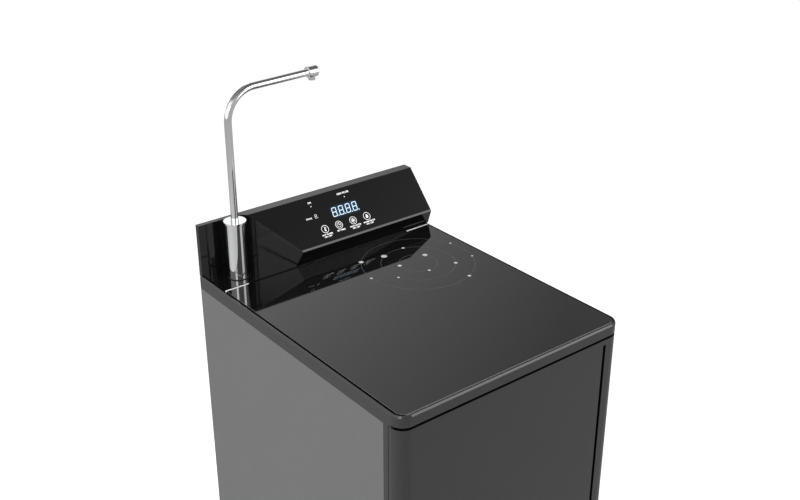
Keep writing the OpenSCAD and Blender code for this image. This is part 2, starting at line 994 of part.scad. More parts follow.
// Bent chrome tube from the faucet body to the end piece
module spout_tube() {
    color(chrome)
    on_arm() {
        translate([0, 0, tube_bottom])
            ring(tube_r, tube_bore_r, arm_z - bend_r - tube_bottom);
        translate([bend_r, 0, arm_z - bend_r])
            rotate([90, 0, 180])
                mirror([0, 0, 1])
                    rotate_extrude(angle = 90)
                        translate([bend_r, 0])
                            difference() {
                                circle(tube_r);
                                circle(tube_bore_r);
                            }
        translate([bend_r, 0, arm_z])
            rotate([0, 90, 0])
                ring(tube_r, tube_bore_r, end_start + end_socket - bend_r);
    }
}

module swivel_collar() {
    color(chrome)
    translate([faucet_x, faucet_y, collar_z])
        ring(collar_r, tube_r + seat_gap, collar_t);
}

// Thicker end of the arm, bored for the tube and the nozzle
module spout_end() {
    color(chrome)
    on_arm()
        difference() {
            translate([end_start, 0, arm_z])
                rotate([0, 90, 0])
                    can(end_r, end_l, end_round);
            translate([end_start - cut, 0, arm_z])
                rotate([0, 90, 0])
                    cylinder(r = tube_r + seat_gap, h = end_socket + cut);
            translate([outlet_reach, 0, arm_z - end_r - cut])
                cylinder(r = nozzle_r + seat_gap, h = end_r + cut);
        }
}

module outlet_nozzle() {
    color(chrome)
    on_arm()
        translate([outlet_reach, 0, arm_z - end_r - nozzle_out])
            ring(nozzle_r, nozzle_r - nozzle_wall, nozzle_in + nozzle_out);
}

// Front door shell with round corners, a solid hinge side and the long pull groove
module front_door() {
    door_h = door_top - door_bottom;
    channel_w = groove_w + 2 * door_wall;
    color(charcoal)
    difference() {
        union() {
            translate([0, 0, door_bottom])
                linear_extrude(door_h)
                    difference() {
                        cabinet_outline(0, door_back_y);
                        intersection() {
                            cabinet_outline(door_wall, door_back_y + cut);
                            translate([-side_x + hinge_side_w, front_y])
                                square([cabinet_w, door_t + cut]);
                        }
                    }
            for (z = [door_bottom, door_top - door_wall])
                translate([0, 0, z])
                    linear_extrude(door_wall)
                        cabinet_outline(0, door_back_y);
            translate([groove_x - channel_w / 2, front_y + door_wall - eps, door_bottom])
                cube([channel_w, groove_depth, door_h]);
        }
        translate([groove_x - groove_w / 2, front_y - cut, door_bottom + groove_end + groove_w / 2])
            cube([groove_w, groove_depth + cut, door_h - 2 * groove_end - groove_w]);
        for (z = [door_bottom + groove_end + groove_w / 2, door_top - groove_end - groove_w / 2])
            translate([groove_x, front_y - cut, z])
                rotate([-90, 0, 0])
                    cylinder(r = groove_w / 2, h = groove_depth + cut);
        for (z = [door_bottom - cut, door_top - hinge_pin_in])
            translate([hinge_x, hinge_y, z])
                cylinder(r = hinge_pin_r + hinge_fit, h = hinge_pin_in + cut);
    }
}

// Flat inner panel that closes the back of the door
module door_liner() {
    color(side_grey)
    translate([0, 0, door_bottom + door_wall])
        linear_extrude(door_top - door_bottom - 2 * door_wall)
            intersection() {
                cabinet_outline(door_wall + seat_gap, door_back_y);
                translate([-side_x + hinge_side_w, door_back_y - door_wall])
                    square([cabinet_w, door_wall]);
            }
}

// Upper and lower pins that the door turns on
module hinge_pins() {
    color(steel)
    translate([hinge_x, hinge_y, 0]) {
        translate([0, 0, base_top - hinge_pin_in])
            cylinder(r = hinge_pin_r, h = door_gap + 2 * hinge_pin_in - pin_end_gap);
        translate([0, 0, door_top - hinge_pin_in + pin_end_gap])
            cylinder(r = hinge_pin_r, h = pin_top - door_top + hinge_pin_in - pin_end_gap);
    }
}

// Thrust washer under the door's hinge side
module hinge_washer() {
    color(white)
    translate([hinge_x, hinge_y, base_top])
        ring(hinge_inset - washer_gap, hinge_pin_r + hinge_fit, door_gap - washer_gap);
}

module door_magnet() {
    color("dimgray")
    translate([magnet_x, stile_y, magnet_z])
        cube([magnet_w, magnet_t, magnet_h]);
}

// Steel plate on the door that the magnet holds
module door_strike() {
    color(steel)
    translate([magnet_x, door_back_y, magnet_z])
        cube([magnet_w, door_back_gap - strike_gap, magnet_h]);
}

// Filter head on the partition, bored for the cartridge necks
function filter_x(i) = (i - (filter_n - 1) / 2) * filter_pitch;
module filter_head() {
    head_w = (filter_n - 1) * filter_pitch + 2 * filter_r;
    head_d = filter_y + 2 * neck_r;
    color(white)
    difference() {
        translate([-head_w / 2, partition_y - head_d, head_bottom])
            cube([head_w, head_d, head_h]);
        for (i = [0 : filter_n - 1])
            translate([filter_x(i), filter_axis_y, head_bottom - cut])
                cylinder(r = neck_r + neck_fit, h = neck_in + filter_gap + cut);
    }
}

// Quarter-turn cartridge with its neck in the filter head and a grip bar below
module filter_cartridge(i) {
    color(white)
    translate([filter_x(i), filter_axis_y, 0]) {
        translate([0, 0, filter_bottom])
            can(filter_r, filter_h, filter_round);
        translate([0, 0, filter_top - eps])
            cylinder(r = neck_r, h = filter_gap + neck_in + eps);
        translate([-grip_l / 2, -grip_t / 2, filter_bottom - filter_grip_h])
            cube([grip_l, grip_t, filter_grip_h + filter_round]);
    }
}

module filter_cartridge_1() { filter_cartridge(0); }
module filter_cartridge_2() { filter_cartridge(1); }
module filter_cartridge_3() { filter_cartridge(2); }
module filter_cartridge_4() { filter_cartridge(3); }

// Reverse osmosis membrane housing, lying across the bay
module membrane_housing() {
    color(white)
    translate([-membrane_l / 2, membrane_y, membrane_z])
        rotate([0, 90, 0])
            can(membrane_r, membrane_l, membrane_round);
}

// Two spring clips that hold the membrane housing on the partition
module membrane_clips() {
    color(white)
    for (side = [-1, 1])
        translate([side * membrane_l / 4, 0, 0])
            difference() {
                union() {
                    translate([-clip_w / 2, membrane_y, membrane_z])
                        rotate([0, 90, 0])
                            cylinder(r = membrane_r + clip_t, h = clip_w);
                    translate([-clip_w / 2, membrane_y, membrane_z - membrane_r / 2])
                        cube([clip_w, partition_y - membrane_y, membrane_r]);
                }
                translate([-clip_w, membrane_y, membrane_z])
                    rotate([0, 90, 0])
                        cylinder(r = membrane_r + seat_gap, h = 2 * clip_w);
                translate([-clip_w, membrane_y - 2.5 * membrane_r, membrane_z - 2 * membrane_r])
                    cube([2 * clip_w, 2 * membrane_r, 4 * membrane_r]);
            }
}

// Booster pump on its foot: motor can and square pump head
module booster_pump() {
    head = 2 * (pump_r + pump_head_edge);
    axis_z = base_floor + pump_foot_t + head / 2;
    color("dimgray")
    translate([0, (panel_y + partition_y) / 2, 0]) {
        translate([-pump_l / 2 - pump_head_l, -head / 2, base_floor])
            cube([pump_l + pump_head_l, head, pump_foot_t]);
        translate([-pump_l / 2 - pump_head_l, -head / 2, base_floor + pump_foot_t - eps])
            cube([pump_head_l, head, head]);
        translate([-pump_l / 2 - pump_lap, 0, axis_z])
            rotate([0, 90, 0])
                can(pump_r, pump_l + pump_lap, pump_round);
        translate([pump_l / 2 - 2 * saddle_w, -pump_r / 2, base_floor + pump_foot_t - eps])
            cube([saddle_w, pump_r, head / 2 - pump_r / 2]);
    }
}

// Inlet valve on the partition: body with its coil
module inlet_valve() {
    color(white)
    translate([valve_x, partition_y - valve_d, valve_z]) {
        cube([valve_w, valve_d, valve_h]);
        translate([valve_w / 2, valve_d / 2, valve_h - eps])
            cylinder(r = valve_coil_r, h = valve_coil_h);
    }
}

module power_supply() {
    color(steel)
    translate([supply_x, partition_y - supply_d, supply_z])
        cube([supply_w, supply_d, supply_h]);
}

// Tank shell with two bored ports on its top, each at an offset from the tank's axis
module tank(r, h, wall, offset) {
    difference() {
        union() {
            can(r, h, tank_round);
            for (x = [-offset, offset])
                translate([x, 0, h - wall])
                    cylinder(r = tank_port_r, h = tank_port_h + wall);
        }
        translate([0, 0, wall])
            can(r - wall, h - 2 * wall, tank_round - wall);
        for (x = [-offset, offset])
            translate([x, 0, h - 2 * wall])
                cylinder(r = waterway_r, h = tank_port_h + 2 * wall + cut);
    }
}

module hot_tank() {
    color(steel)
    translate([hot_x, tank_y, shelf_top])
        tank(hot_r, hot_h, hot_wall, hot_x - faucet_x);
}

module heater_band() {
    color("goldenrod")
    translate([hot_x, tank_y, shelf_top + band_z])
        ring(hot_r + band_t, hot_r + seat_gap, band_h);
}

module cold_tank() {
    color(white)
    translate([cold_x, tank_y, shelf_top])
        tank(cold_r, cold_h, cold_wall, cold_port);
}

// Cooling compressor on its base plate and four grommets
module compressor() {
    plate_w = 2 * (compressor_r + plate_edge);
    grommet_x = plate_w / 2 - grommet_inset;
    color("dimgray")
    translate([inner_x - plate_w / 2 - compressor_off, tank_y, base_floor]) {
        for (x = [-1, 1], y = [-1, 1])
            translate([x * grommet_x, y * grommet_x, 0])
                cylinder(r = grommet_r, h = grommet_h);
        translate([-plate_w / 2, -plate_w / 2, grommet_h - eps])
            cube([plate_w, plate_w, plate_t]);
        translate([0, 0, grommet_h + plate_t - 2 * eps])
            can(compressor_r, compressor_h, compressor_round);
    }
}

// Serpentine condenser tube in the rear pocket, with both ends led through the back panel
module condenser_tube() {
    color(gloss_black)
    translate([0, cond_y, cond_z]) {
        for (i = [0 : cond_n - 1])
            translate([-cond_run / 2, 0, i * cond_pitch])
                rotate([0, 90, 0])
                    cylinder(r = cond_r, h = cond_run);
        for (i = [0 : cond_n - 2])
            translate([(i % 2 == 0 ? 1 : -1) * cond_run / 2, 0, (i + 0.5) * cond_pitch])
                rotate([90, 0, 0])
                    rotate([0, 0, i % 2 == 0 ? -90 : 90])
                        rotate_extrude(angle = 180)
                            translate([cond_pitch / 2, 0])
                                circle(cond_r);
        for (i = [0, cond_n - 1])
            translate([-cond_run / 2, 0, i * cond_pitch]) {
                sphere(cond_r);
                rotate([90, 0, 0])
                    cylinder(r = cond_r, h = cond_y - back_y - sheet_t);
            }
    }
}

// Upright wires on both sides of the condenser runs
module condenser_wires() {
    h = (cond_n - 1) * cond_pitch + 2 * wire_over;
    color(gloss_black)
    for (i = [0 : wire_n - 1], side = [-1, 1])
        translate([wire_x(i), cond_y + side * (cond_r + wire_r + wire_gap), cond_z - wire_over])
            cylinder(r = wire_r, h = h);
}
function wire_x(i) = -cond_run / 2 + wire_edge + i * (cond_run - 2 * wire_edge) / (wire_n - 1);

// Plastic clips that hold the condenser runs off the back panel
module condenser_clips() {
    color(gloss_black)
    for (x = [wire_x(1.5), wire_x(wire_n - 2.5)], i = [1, cond_n - 2])
        difference() {
            translate([x - cond_clip_w / 2, back_y + sheet_t, cond_z + i * cond_pitch - cond_clip_h / 2])
                cube([cond_clip_w, cond_y + 2 * cond_r - back_y - sheet_t, cond_clip_h]);
            translate([x - cond_clip_w, cond_y, cond_z + i * cond_pitch])
                rotate([0, 90, 0])
                    cylinder(r = cond_r + seat_gap, h = 2 * cond_clip_w);
        }
}

// Push-in tube fitting through the back panel
module port_fitting(x) {
    on_back(x, port_z)
        difference() {
            union() {
                cylinder(r = port_flange_r, h = port_flange_t);
                cylinder(r = collet_r, h = port_out);
                translate([0, 0, -port_in])
                    cylinder(r = fitting_r, h = port_in + cut);
            }
            translate([0, 0, port_out - port_depth])
                cylinder(r = port_r, h = port_depth + cut);
            translate([0, 0, -port_in - cut])
                cylinder(r = port_way_r, h = port_in + port_out);
        }
}

module inlet_fitting() {
    color("royalblue")
    port_fitting(inlet_x);
}

module waste_fitting() {
    color(white)
    port_fitting(waste_x);
}

// Screw caps on the drains of the hot and cold tanks
module drain_caps() {
    color(gloss_black)
    for (i = [0, 1])
        on_back(drain_x + i * port_pitch, port_z) {
            can(drain_cap_r, drain_cap_h, drain_round);
            translate([0, 0, -drain_in])
                cylinder(r = drain_r, h = drain_in + cut);
        }
}

// Gland for the mains lead
module cord_gland() {
    color(gloss_black)
    on_back(gland_x, port_z)
        difference() {
            union() {
                cylinder(r = gland_hex_r, h = gland_hex_h, $fn = 6);
                can(gland_cap_r, gland_out, gland_round);
                translate([0, 0, -gland_in])
                    cylinder(r = gland_r, h = gland_in + cut);
            }
            translate([0, 0, -gland_in - cut])
                cylinder(r = cord_r, h = gland_in + gland_out + 2 * cut);
        }
}

// Upright block in the outline of the switch body, grown by an edge, from y over a depth
module switch_block(edge, y, d) {
    w = switch_body_w + 2 * edge;
    h = switch_body_h + 2 * edge;
    translate([switch_x - w / 2, y, switch_z - h / 2])
        cube([w, d, h]);
}

// Frame of the two rear rocker switches, with a pocket and pivot holes for each rocker
module switch_frame() {
    color(gloss_black)
    difference() {
        union() {
            switch_block(switch_lip, rocker_y, switch_lip);
            switch_block(0, rocker_y - switch_body_d, switch_body_d + cut);
        }
        for (side = [-1, 1])
            translate([switch_x + side * rocker_pitch / 2, rocker_y, switch_z]) {
                translate([-rocker_w / 2 - rocker_gap, -rocker_r - rocker_gap, -rocker_r - rocker_gap])
                    cube([rocker_w + 2 * rocker_gap, 2 * rocker_r, 2 * (rocker_r + rocker_gap)]);
                rotate([0, 90, 0])
                    cylinder(r = trunnion_r + trunnion_fit, h = trunnion_w + cut, center = true);
            }
    }
}

// Rocker on two trunnions, resting at one end of its tilt
module rocker(side) {
    rise = rocker_r * tan(rocker_tilt / 2);
    translate([switch_x + side * rocker_pitch / 2, rocker_y, switch_z])
        rotate([-rocker_tilt / 2, 0, 0]) {
            along_x(-rocker_w / 2, rocker_w)
                intersection() {
                    circle(rocker_r);
                    polygon([
                        [-rocker_r, -rocker_r], [rocker_face + rise, -rocker_r], [rocker_face, 0],
                        [rocker_face + rise, rocker_r], [-rocker_r, rocker_r]
                    ]);
                }
            rotate([0, 90, 0])
                cylinder(r = trunnion_r, h = trunnion_w, center = true);
        }
}

module heat_rocker() {
    color("firebrick")
    rocker(-1);
}

module cool_rocker() {
    color("seagreen")
    rocker(1);
}

// Pan-head screws that hold the back panel on the rear posts
module back_screws() {
    color(steel)
    for (side = [-1, 1], i = [0 : screw_n - 1])
        on_back(side * screw_x, screw_z(i)) {
            can(screw_head_r, screw_head_h, screw_head_round);
            translate([0, 0, -screw_l])
                cylinder(r = screw_shank_r - seat_gap, h = screw_l + screw_head_h / 2);
        }
}

// Tube of round section along square turns, with bends of one radius
module tube_line(points, r, bend) {
    last = len(points) - 1;
    for (i = [0 : last - 1]) {
        along = (points[i + 1] - points[i]) / norm(points[i + 1] - points[i]);
        from = points[i] + along * (i == 0 ? 0 : bend);
        to = points[i + 1] - along * (i == last - 1 ? 0 : bend);
        side = abs(along[2]) > 0.5 ? [1, 0, 0] : [0, 0, 1];
        multmatrix(frame_at(from, side, cross(along, side), along))
            cylinder(r = r, h = norm(to - from));
        if (i < last - 1) {
            next = (points[i + 2] - points[i + 1]) / norm(points[i + 2] - points[i + 1]);
            multmatrix(frame_at(to + next * bend, -next, along, cross(-next, along)))
                rotate_extrude(angle = 90)
                    translate([bend, 0])
                        circle(r);
        }
    }
}

// Frame with its origin at a point and the given x, y and z directions
function frame_at(p, x, y, z) = [
    [x[0], y[0], z[0], p[0]],
    [x[1], y[1], z[1], p[1]],
    [x[2], y[2], z[2], p[2]],
    [0, 0, 0, 1]
];

// Water tubes: inlet to valve, valve to filter head, filter head to cold tank, hot tank to faucet
module water_lines() {
    valve_y = partition_y - valve_d / 2;
    riser_x = -membrane_l / 4 + clip_w / 2 + line_r + line_gap;
    riser_y = partition_y - membrane_off / 2;
    riser_z = valve_z + valve_h / 2;
    cold_line_x = cold_x - cold_port;
    over_z = head_top + line_rise;
    hot_z = shank_bottom - line_rise;
    color(white) {
        tube_line([
            [inlet_x, back_y + sheet_t - port_in, port_z], [inlet_x, valve_y, port_z],
            [inlet_x, valve_y, valve_z]
        ], line_r, line_bend);
        tube_line([
            [valve_x + valve_w, riser_y, riser_z], [riser_x, riser_y, riser_z],
            [riser_x, riser_y, head_bottom]
        ], line_r, line_bend);
        tube_line([
            [cold_line_x, filter_axis_y, head_top], [cold_line_x, filter_axis_y, over_z],
            [cold_line_x, tank_y, over_z], [cold_line_x, tank_y, shelf_top + cold_h + tank_port_h]
        ], line_r, line_bend);
        tube_line([
            [faucet_x, faucet_y, shank_bottom], [faucet_x, faucet_y, hot_z],
            [faucet_x, tank_y, hot_z], [faucet_x, tank_y, shelf_top + hot_h + tank_port_h]
        ], line_r, line_bend);
    }
}

base_tray();
feet();
stile_left();
stile_right();
frame_rails();
rear_posts();
side_panel_left();
side_panel_right();
back_panel();
partition();
tank_shelf();
top_cover();
glass_top();
deck_plate();
console_shell();
control_lens();
control_board();
display_module();
touch_springs();
indicator_lamps();
faucet_gasket();
faucet_body();
faucet_nut();
spout_bush();
spout_tube();
swivel_collar();
spout_end();
outlet_nozzle();
front_door();
door_liner();
hinge_pins();
hinge_washer();
door_magnet();
door_strike();
filter_head();
filter_cartridge_1();
filter_cartridge_2();
filter_cartridge_3();
filter_cartridge_4();
membrane_housing();
membrane_clips();
booster_pump();
inlet_valve();
power_supply();
hot_tank();
heater_band();
cold_tank();
compressor();
condenser_tube();
condenser_wires();
condenser_clips();
inlet_fitting();
waste_fitting();
drain_caps();
cord_gland();
switch_frame();
heat_rocker();
cool_rocker();
back_screws();
water_lines();
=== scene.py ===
import math

import bmesh
import bpy
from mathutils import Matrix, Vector


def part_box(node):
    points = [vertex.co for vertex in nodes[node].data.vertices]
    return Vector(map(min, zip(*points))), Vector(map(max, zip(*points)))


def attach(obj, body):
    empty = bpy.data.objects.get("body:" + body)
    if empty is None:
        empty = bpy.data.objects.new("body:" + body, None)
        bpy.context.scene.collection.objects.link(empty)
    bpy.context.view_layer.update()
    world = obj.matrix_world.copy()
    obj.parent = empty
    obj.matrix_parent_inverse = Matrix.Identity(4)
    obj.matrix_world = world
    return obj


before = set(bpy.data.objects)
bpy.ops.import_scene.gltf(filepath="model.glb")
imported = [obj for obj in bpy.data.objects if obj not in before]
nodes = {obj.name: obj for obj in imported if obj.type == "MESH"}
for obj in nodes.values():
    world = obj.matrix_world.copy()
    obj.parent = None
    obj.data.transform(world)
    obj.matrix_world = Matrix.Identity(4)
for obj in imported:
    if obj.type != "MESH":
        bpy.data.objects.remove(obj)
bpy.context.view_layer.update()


# Plinth tray and front frame: charcoal ABS mouldings with a fine spark-eroded grain.
# The tray stands on four rubber feet and carries the whole cabinet.
# The stiles and rails stand on it and frame the filter bay.
def tone(red, green, blue):
    """Linear colour of a tone that is written as it looks, 0 to 255."""
    levels = [level / 255 for level in (red, green, blue)]
    return [v / 12.92 if v < 0.04045 else ((v + 0.055) / 1.055) ** 2.4 for v in levels] + [1.0]


def shader_node(tree, kind, inputs=None, **properties):
    """One shader node. Each input is a plain value or another node's output."""
    new = tree.nodes.new("ShaderNode" + kind)
    for key, value in properties.items():
        setattr(new, key, value)
    for key, value in (inputs or {}).items():
        if isinstance(value, bpy.types.NodeSocket):
            tree.links.new(value, new.inputs[key])
        else:
            new.inputs[key].default_value = value
    return new


def wire(tree, node, **sockets):
    """Feeds a node's inputs from other nodes' outputs, with _ for each space in a name."""
    for name, source in sockets.items():
        tree.links.new(source, node.inputs[name.replace("_", " ")])


def object_place(tree):
    """Object coordinates, which every pattern follows."""
    return shader_node(tree, "TexCoord").outputs["Object"]


def reckon(tree, operation, *values):
    """The result of a sum on plain numbers and other nodes' outputs."""
    return shader_node(tree, "Math", dict(enumerate(values)), operation=operation).outputs[0]


def shader_group(name, inputs, outputs):
    """An empty node group with its sockets: what it is given, and the node for what it makes."""
    tree = bpy.data.node_groups.new(name, "ShaderNodeTree")
    for sockets, way in ((inputs, "INPUT"), (outputs, "OUTPUT")):
        for socket, kind in sockets.items():
            tree.interface.new_socket(socket, in_out=way, socket_type="NodeSocket" + kind)
    return tree, tree.nodes.new("NodeGroupInput").outputs, tree.nodes.new("NodeGroupOutput")


def make_skin_group():
    """Moulded or sprayed skin: cloudy colour, uneven gloss and a fine grain to raise."""
    tree, given, made = shader_group(
        "Skin",
        dict(Colour="Color", Cloud="Float", Roughness="Float", Spread="Float", Grain="Float"),
        dict(Colour="Color", Roughness="Float", Height="Float"),
    )
    place = object_place(tree)
    cloud = shader_node(tree, "TexNoise", {"Vector": place, "Scale": 14.0, "Detail": 4.0})
    gloss = shader_node(tree, "TexNoise", {"Vector": place, "Scale": 55.0, "Detail": 3.0})
    grain = shader_node(
        tree, "TexNoise", {"Vector": place, "Scale": given["Grain"], "Detail": 2.0, "Roughness": 0.6},
    )
    centred = reckon(tree, "SUBTRACT", cloud.outputs["Fac"], 0.5)
    swing = reckon(tree, "MULTIPLY_ADD", centred, given["Cloud"], 1.0)
    shade = shader_node(tree, "VectorMath", {0: given["Colour"], "Scale": swing}, operation="SCALE")
    patch = reckon(tree, "SUBTRACT", gloss.outputs["Fac"], 0.5)
    rough = reckon(tree, "MULTIPLY_ADD", patch, given["Spread"], given["Roughness"])
    wire(tree, made, Colour=shade.outputs[0], Roughness=rough, Height=grain.outputs["Fac"])
    return tree


def blank_material(name, **sockets):
    """A material with one Principled shader, and the values that are the same all over it."""
    material = bpy.data.materials.new(name)
    material.use_nodes = True
    shader = material.node_tree.nodes["Principled BSDF"]
    for socket, value in sockets.items():
        shader.inputs[socket.replace("_", " ")].default_value = value
    return material, material.node_tree, shader


def raise_height(tree, shader, height, depth):
    """A bump of that depth in metres on the shader's normal."""
    bump = shader_node(tree, "Bump", {"Strength": 1.0, "Distance": depth, "Height": height})
    wire(tree, shader, Normal=bump.outputs["Normal"])


skin_group = make_skin_group()


def skin_material(
    name, colour, roughness, cloud=0.12, spread=0.12, grain=2600.0, depth=0.00004, **sockets,
):
    """A moulded or sprayed finish."""
    material, tree, shader = blank_material(name, **sockets)
    skin = shader_node(
        tree, "Group",
        dict(Colour=colour, Cloud=cloud, Roughness=roughness, Spread=spread, Grain=grain),
        node_tree=skin_group,
    )
    wire(tree, shader, Base_Color=skin.outputs["Colour"], Roughness=skin.outputs["Roughness"])
    raise_height(tree, shader, skin.outputs["Height"], depth)
    return material


def dress(material, *names):
    """Gives CAD nodes a finish."""
    for name in names:
        nodes[name].data.materials.clear()
        nodes[name].data.materials.append(material)


charcoal = skin_material("charcoal_moulding", tone(50, 50, 50), 0.17, spread=0.06, depth=0.00001)
dress(charcoal, "base_tray", "stile_left", "stile_right", "frame_rails")
foot_rubber = skin_material(
    "foot_rubber", tone(38, 38, 38), 0.75, cloud=0.3, grain=1500.0, depth=0.00008,
)
dress(foot_rubber, "feet", "faucet_gasket")


# Hinge strip: charcoal filler snapped on the left stile, so that no gap shows beside the closed door.
# Its inner side is hollow round the hinge pin and lets the door's corner swing past.
# A small cap closes the room above that corner, round the upper pin.
def alone(piece):
    """Selects one piece and nothing else, in object mode."""
    if bpy.context.object and bpy.context.object.mode != "OBJECT":
        bpy.ops.object.mode_set(mode="OBJECT")
    bpy.ops.object.select_all(action="DESELECT")
    piece.select_set(True)
    bpy.context.view_layer.objects.active = piece


def fix_place(piece):
    """Puts a piece's place, turn and scale into its mesh."""
    alone(piece)
    bpy.ops.object.transform_apply(location=True, rotation=True, scale=True)


def start(name, add, **settings):
    """A primitive to be shaped, with its place in its mesh."""
    bpy.ops.object.select_all(action="DESELECT")
    add(**settings)
    piece = bpy.context.object
    piece.name = piece.data.name = name
    fix_place(piece)
    return piece


def block(name, low, high):
    """A block between two corners, to be shaped."""
    low, high = Vector(low), Vector(high)
    return start(
        name, bpy.ops.mesh.primitive_cube_add, size=1, location=(low + high) / 2, scale=high - low,
    )


def post(name, radius, low, high, at, vertices=64):
    """An upright cylinder between two heights, to be shaped or to cut with."""
    return start(
        name, bpy.ops.mesh.primitive_cylinder_add, vertices=vertices, radius=radius,
        depth=high - low, location=(at[0], at[1], (low + high) / 2),
    )


def work(piece, kind, **settings):
    """Adds a modifier to a piece and applies it."""
    alone(piece)
    step = piece.modifiers.new(kind.lower(), kind)
    for key, value in settings.items():
        setattr(step, key, value)
    bpy.ops.object.modifier_apply(modifier=step.name)


def cut_away(piece, tool):
    """Takes the room of a tool out of a piece."""
    work(piece, "BOOLEAN", object=tool, operation="DIFFERENCE", solver="EXACT")
    bpy.data.objects.remove(tool)


def settle(piece, material, body, angle=35):
    """Finishes a piece: its place, shading that is soft up to an angle, its finish and its body."""
    fix_place(piece)
    bpy.ops.object.shade_smooth_by_angle(angle=math.radians(angle))
    piece.data.materials.clear()
    piece.data.materials.append(material)
    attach(piece, body)


HINGE_AT = (-0.166, -0.194)
DOOR_SWEEP = 0.00625
SWEEP_HEIGHTS = (-0.5, 1.5)
PIN_ROOM = 0.0018
PIN_HEIGHTS = (0.8, 1.0)
COVER_EDGE = 0.88495
CAP_BOTTOM = 0.88230
CAP_RIGHT = -0.158
CAP_AHEAD = 0.0008
CAP_INSET = 0.00002
stile_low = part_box("stile_left")[0]
strip_front = HINGE_AT[1] + math.sqrt(DOOR_SWEEP ** 2 - (HINGE_AT[0] - stile_low.x) ** 2)
hinge_strip = block(
    "hinge_strip", (stile_low.x, strip_front, stile_low.z), (HINGE_AT[0], stile_low.y, COVER_EDGE),
)
cut_away(hinge_strip, post("swing_room", DOOR_SWEEP, *SWEEP_HEIGHTS, HINGE_AT, vertices=192))
settle(hinge_strip, charcoal, "cabinet")
hinge_cap = block(
    "hinge_cap", (stile_low.x + CAP_INSET, HINGE_AT[1] - CAP_AHEAD, CAP_BOTTOM),
    (CAP_RIGHT, strip_front, COVER_EDGE),
)
cut_away(hinge_cap, post("pin_room", PIN_ROOM, *PIN_HEIGHTS, HINGE_AT))
settle(hinge_cap, charcoal, "cabinet")


# Rear posts, partition, tank shelf and back panel: zinc-coated sheet steel, cut, folded and screwed.
# The coating shows its crystals as a faint spangle with a cool grey sheen.
def ramp(tree, value, reach, levels=(0.0, 1.0), **properties):
    """A value that goes from one level to another while a given value goes over its reach."""
    settings = {
        "Value": value, "From Min": reach[0], "From Max": reach[1],
        "To Min": levels[0], "To Max": levels[1],
    }
    return shader_node(tree, "MapRange", settings, **properties).outputs[0]


def mixed(tree, share, first, second):
    """A colour between two others, by a share from 0 to 1."""
    return shader_node(
        tree, "Mix", {"Factor": share, "A": first, "B": second}, data_type="RGBA",
    ).outputs["Result"]


def make_spangle_group():
    """Zinc crystals: flat patches that differ in tone and gloss."""
    tree, given, made = shader_group(
        "Spangle",
        dict(Light="Color", Dark="Color", Scale="Float"),
        dict(Colour="Color", Roughness="Float", Height="Float"),
    )
    place = object_place(tree)
    crystals = shader_node(
        tree, "TexVoronoi", {"Vector": place, "Scale": given["Scale"], "Randomness": 1.0},
    )
    stains = shader_node(tree, "TexNoise", {"Vector": place, "Scale": 20.0, "Detail": 5.0})
    level = shader_node(tree, "SeparateColor", {0: crystals.outputs["Color"]})
    stained = reckon(tree, "MULTIPLY", level.outputs[0], stains.outputs["Fac"])
    wire(
        tree, made,
        Colour=mixed(tree, stained, given["Light"], given["Dark"]),
        Roughness=ramp(tree, level.outputs[1], (0.0, 1.0), (0.32, 0.52)),
        Height=level.outputs[2],
    )
    return tree


zinc, zinc_tree, zinc_shader = blank_material("zinc_sheet", Metallic=0.85)
spangle = shader_node(
    zinc_tree, "Group",
    dict(Light=tone(196, 199, 203), Dark=tone(146, 150, 155), Scale=160.0),
    node_tree=make_spangle_group(),
)
wire(
    zinc_tree, zinc_shader,
    Base_Color=spangle.outputs["Colour"], Roughness=spangle.outputs["Roughness"],
)
raise_height(zinc_tree, zinc_shader, spangle.outputs["Height"], 0.000004)
dress(
    zinc, "rear_posts", "partition", "tank_shelf", "back_panel", "back_screws", "hinge_pins",
    "door_strike", "touch_springs",
)


# Side panels: folded sheet steel, sprayed in a satin mid-grey powder coat.
# The coat keeps a slight orange peel. The panels hook over the posts and stiles.
side_coat = skin_material(
    "side_coat", tone(102, 102, 102), 0.40, cloud=0.05, spread=0.08, grain=620.0, depth=0.00003,
)
dress(side_coat, "side_panel_left", "side_panel_right")


# Filter set: white polypropylene head with four quarter-turn cartridges and the membrane below.
# Each cartridge is moulded in one with its grip.
# A printed film sleeve, shrunk round it, tells its stage by colour.
STAGES = (1, 2, 3, 4)
white_moulding = skin_material(
    "white_moulding", tone(226, 227, 225), 0.32, cloud=0.04, grain=900.0, depth=0.00002,
)
dress(
    white_moulding, "filter_head", "membrane_housing", "membrane_clips", "inlet_valve", "cold_tank",
    "waste_fitting", "spout_bush", "hinge_washer", "display_module", "indicator_lamps",
    *["filter_cartridge_%d" % stage for stage in STAGES],
)


def copy_of(piece, name, move=(0, 0, 0)):
    """A copy of a piece with its own mesh, moved."""
    alone(piece)
    bpy.ops.object.duplicate(linked=False)
    copy = bpy.context.object
    copy.name = copy.data.name = name
    copy.location = Vector(move)
    fix_place(copy)
    return copy


SLEEVE_H = 0.070
SLEEVE_T = 0.0003
SLEEVE_FIT = 0.0001
SLEEVE_SHARE = 0.60
SLEEVE_LINE = 0.0012
SLEEVE_LINE_IN = 0.006
SLEEVE_TONES = ((58, 96, 150), (70, 134, 168), (86, 140, 118), (120, 124, 130))


def make_sleeve_group():
    """Printed sleeve: a coloured field with a white line near each end, along the height."""
    tree, given, made = shader_group(
        "Sleeve",
        dict(Field="Color", Line="Color", Middle="Float", Half="Float"),
        dict(Colour="Color"),
    )
    height = shader_node(tree, "SeparateXYZ", {0: object_place(tree)}).outputs["Z"]
    far = reckon(tree, "ABSOLUTE", reckon(tree, "SUBTRACT", height, given["Middle"]))
    line = reckon(tree, "COMPARE", far, given["Half"], SLEEVE_LINE)
    wire(tree, made, Colour=mixed(tree, line, given["Field"], given["Line"]))
    return tree


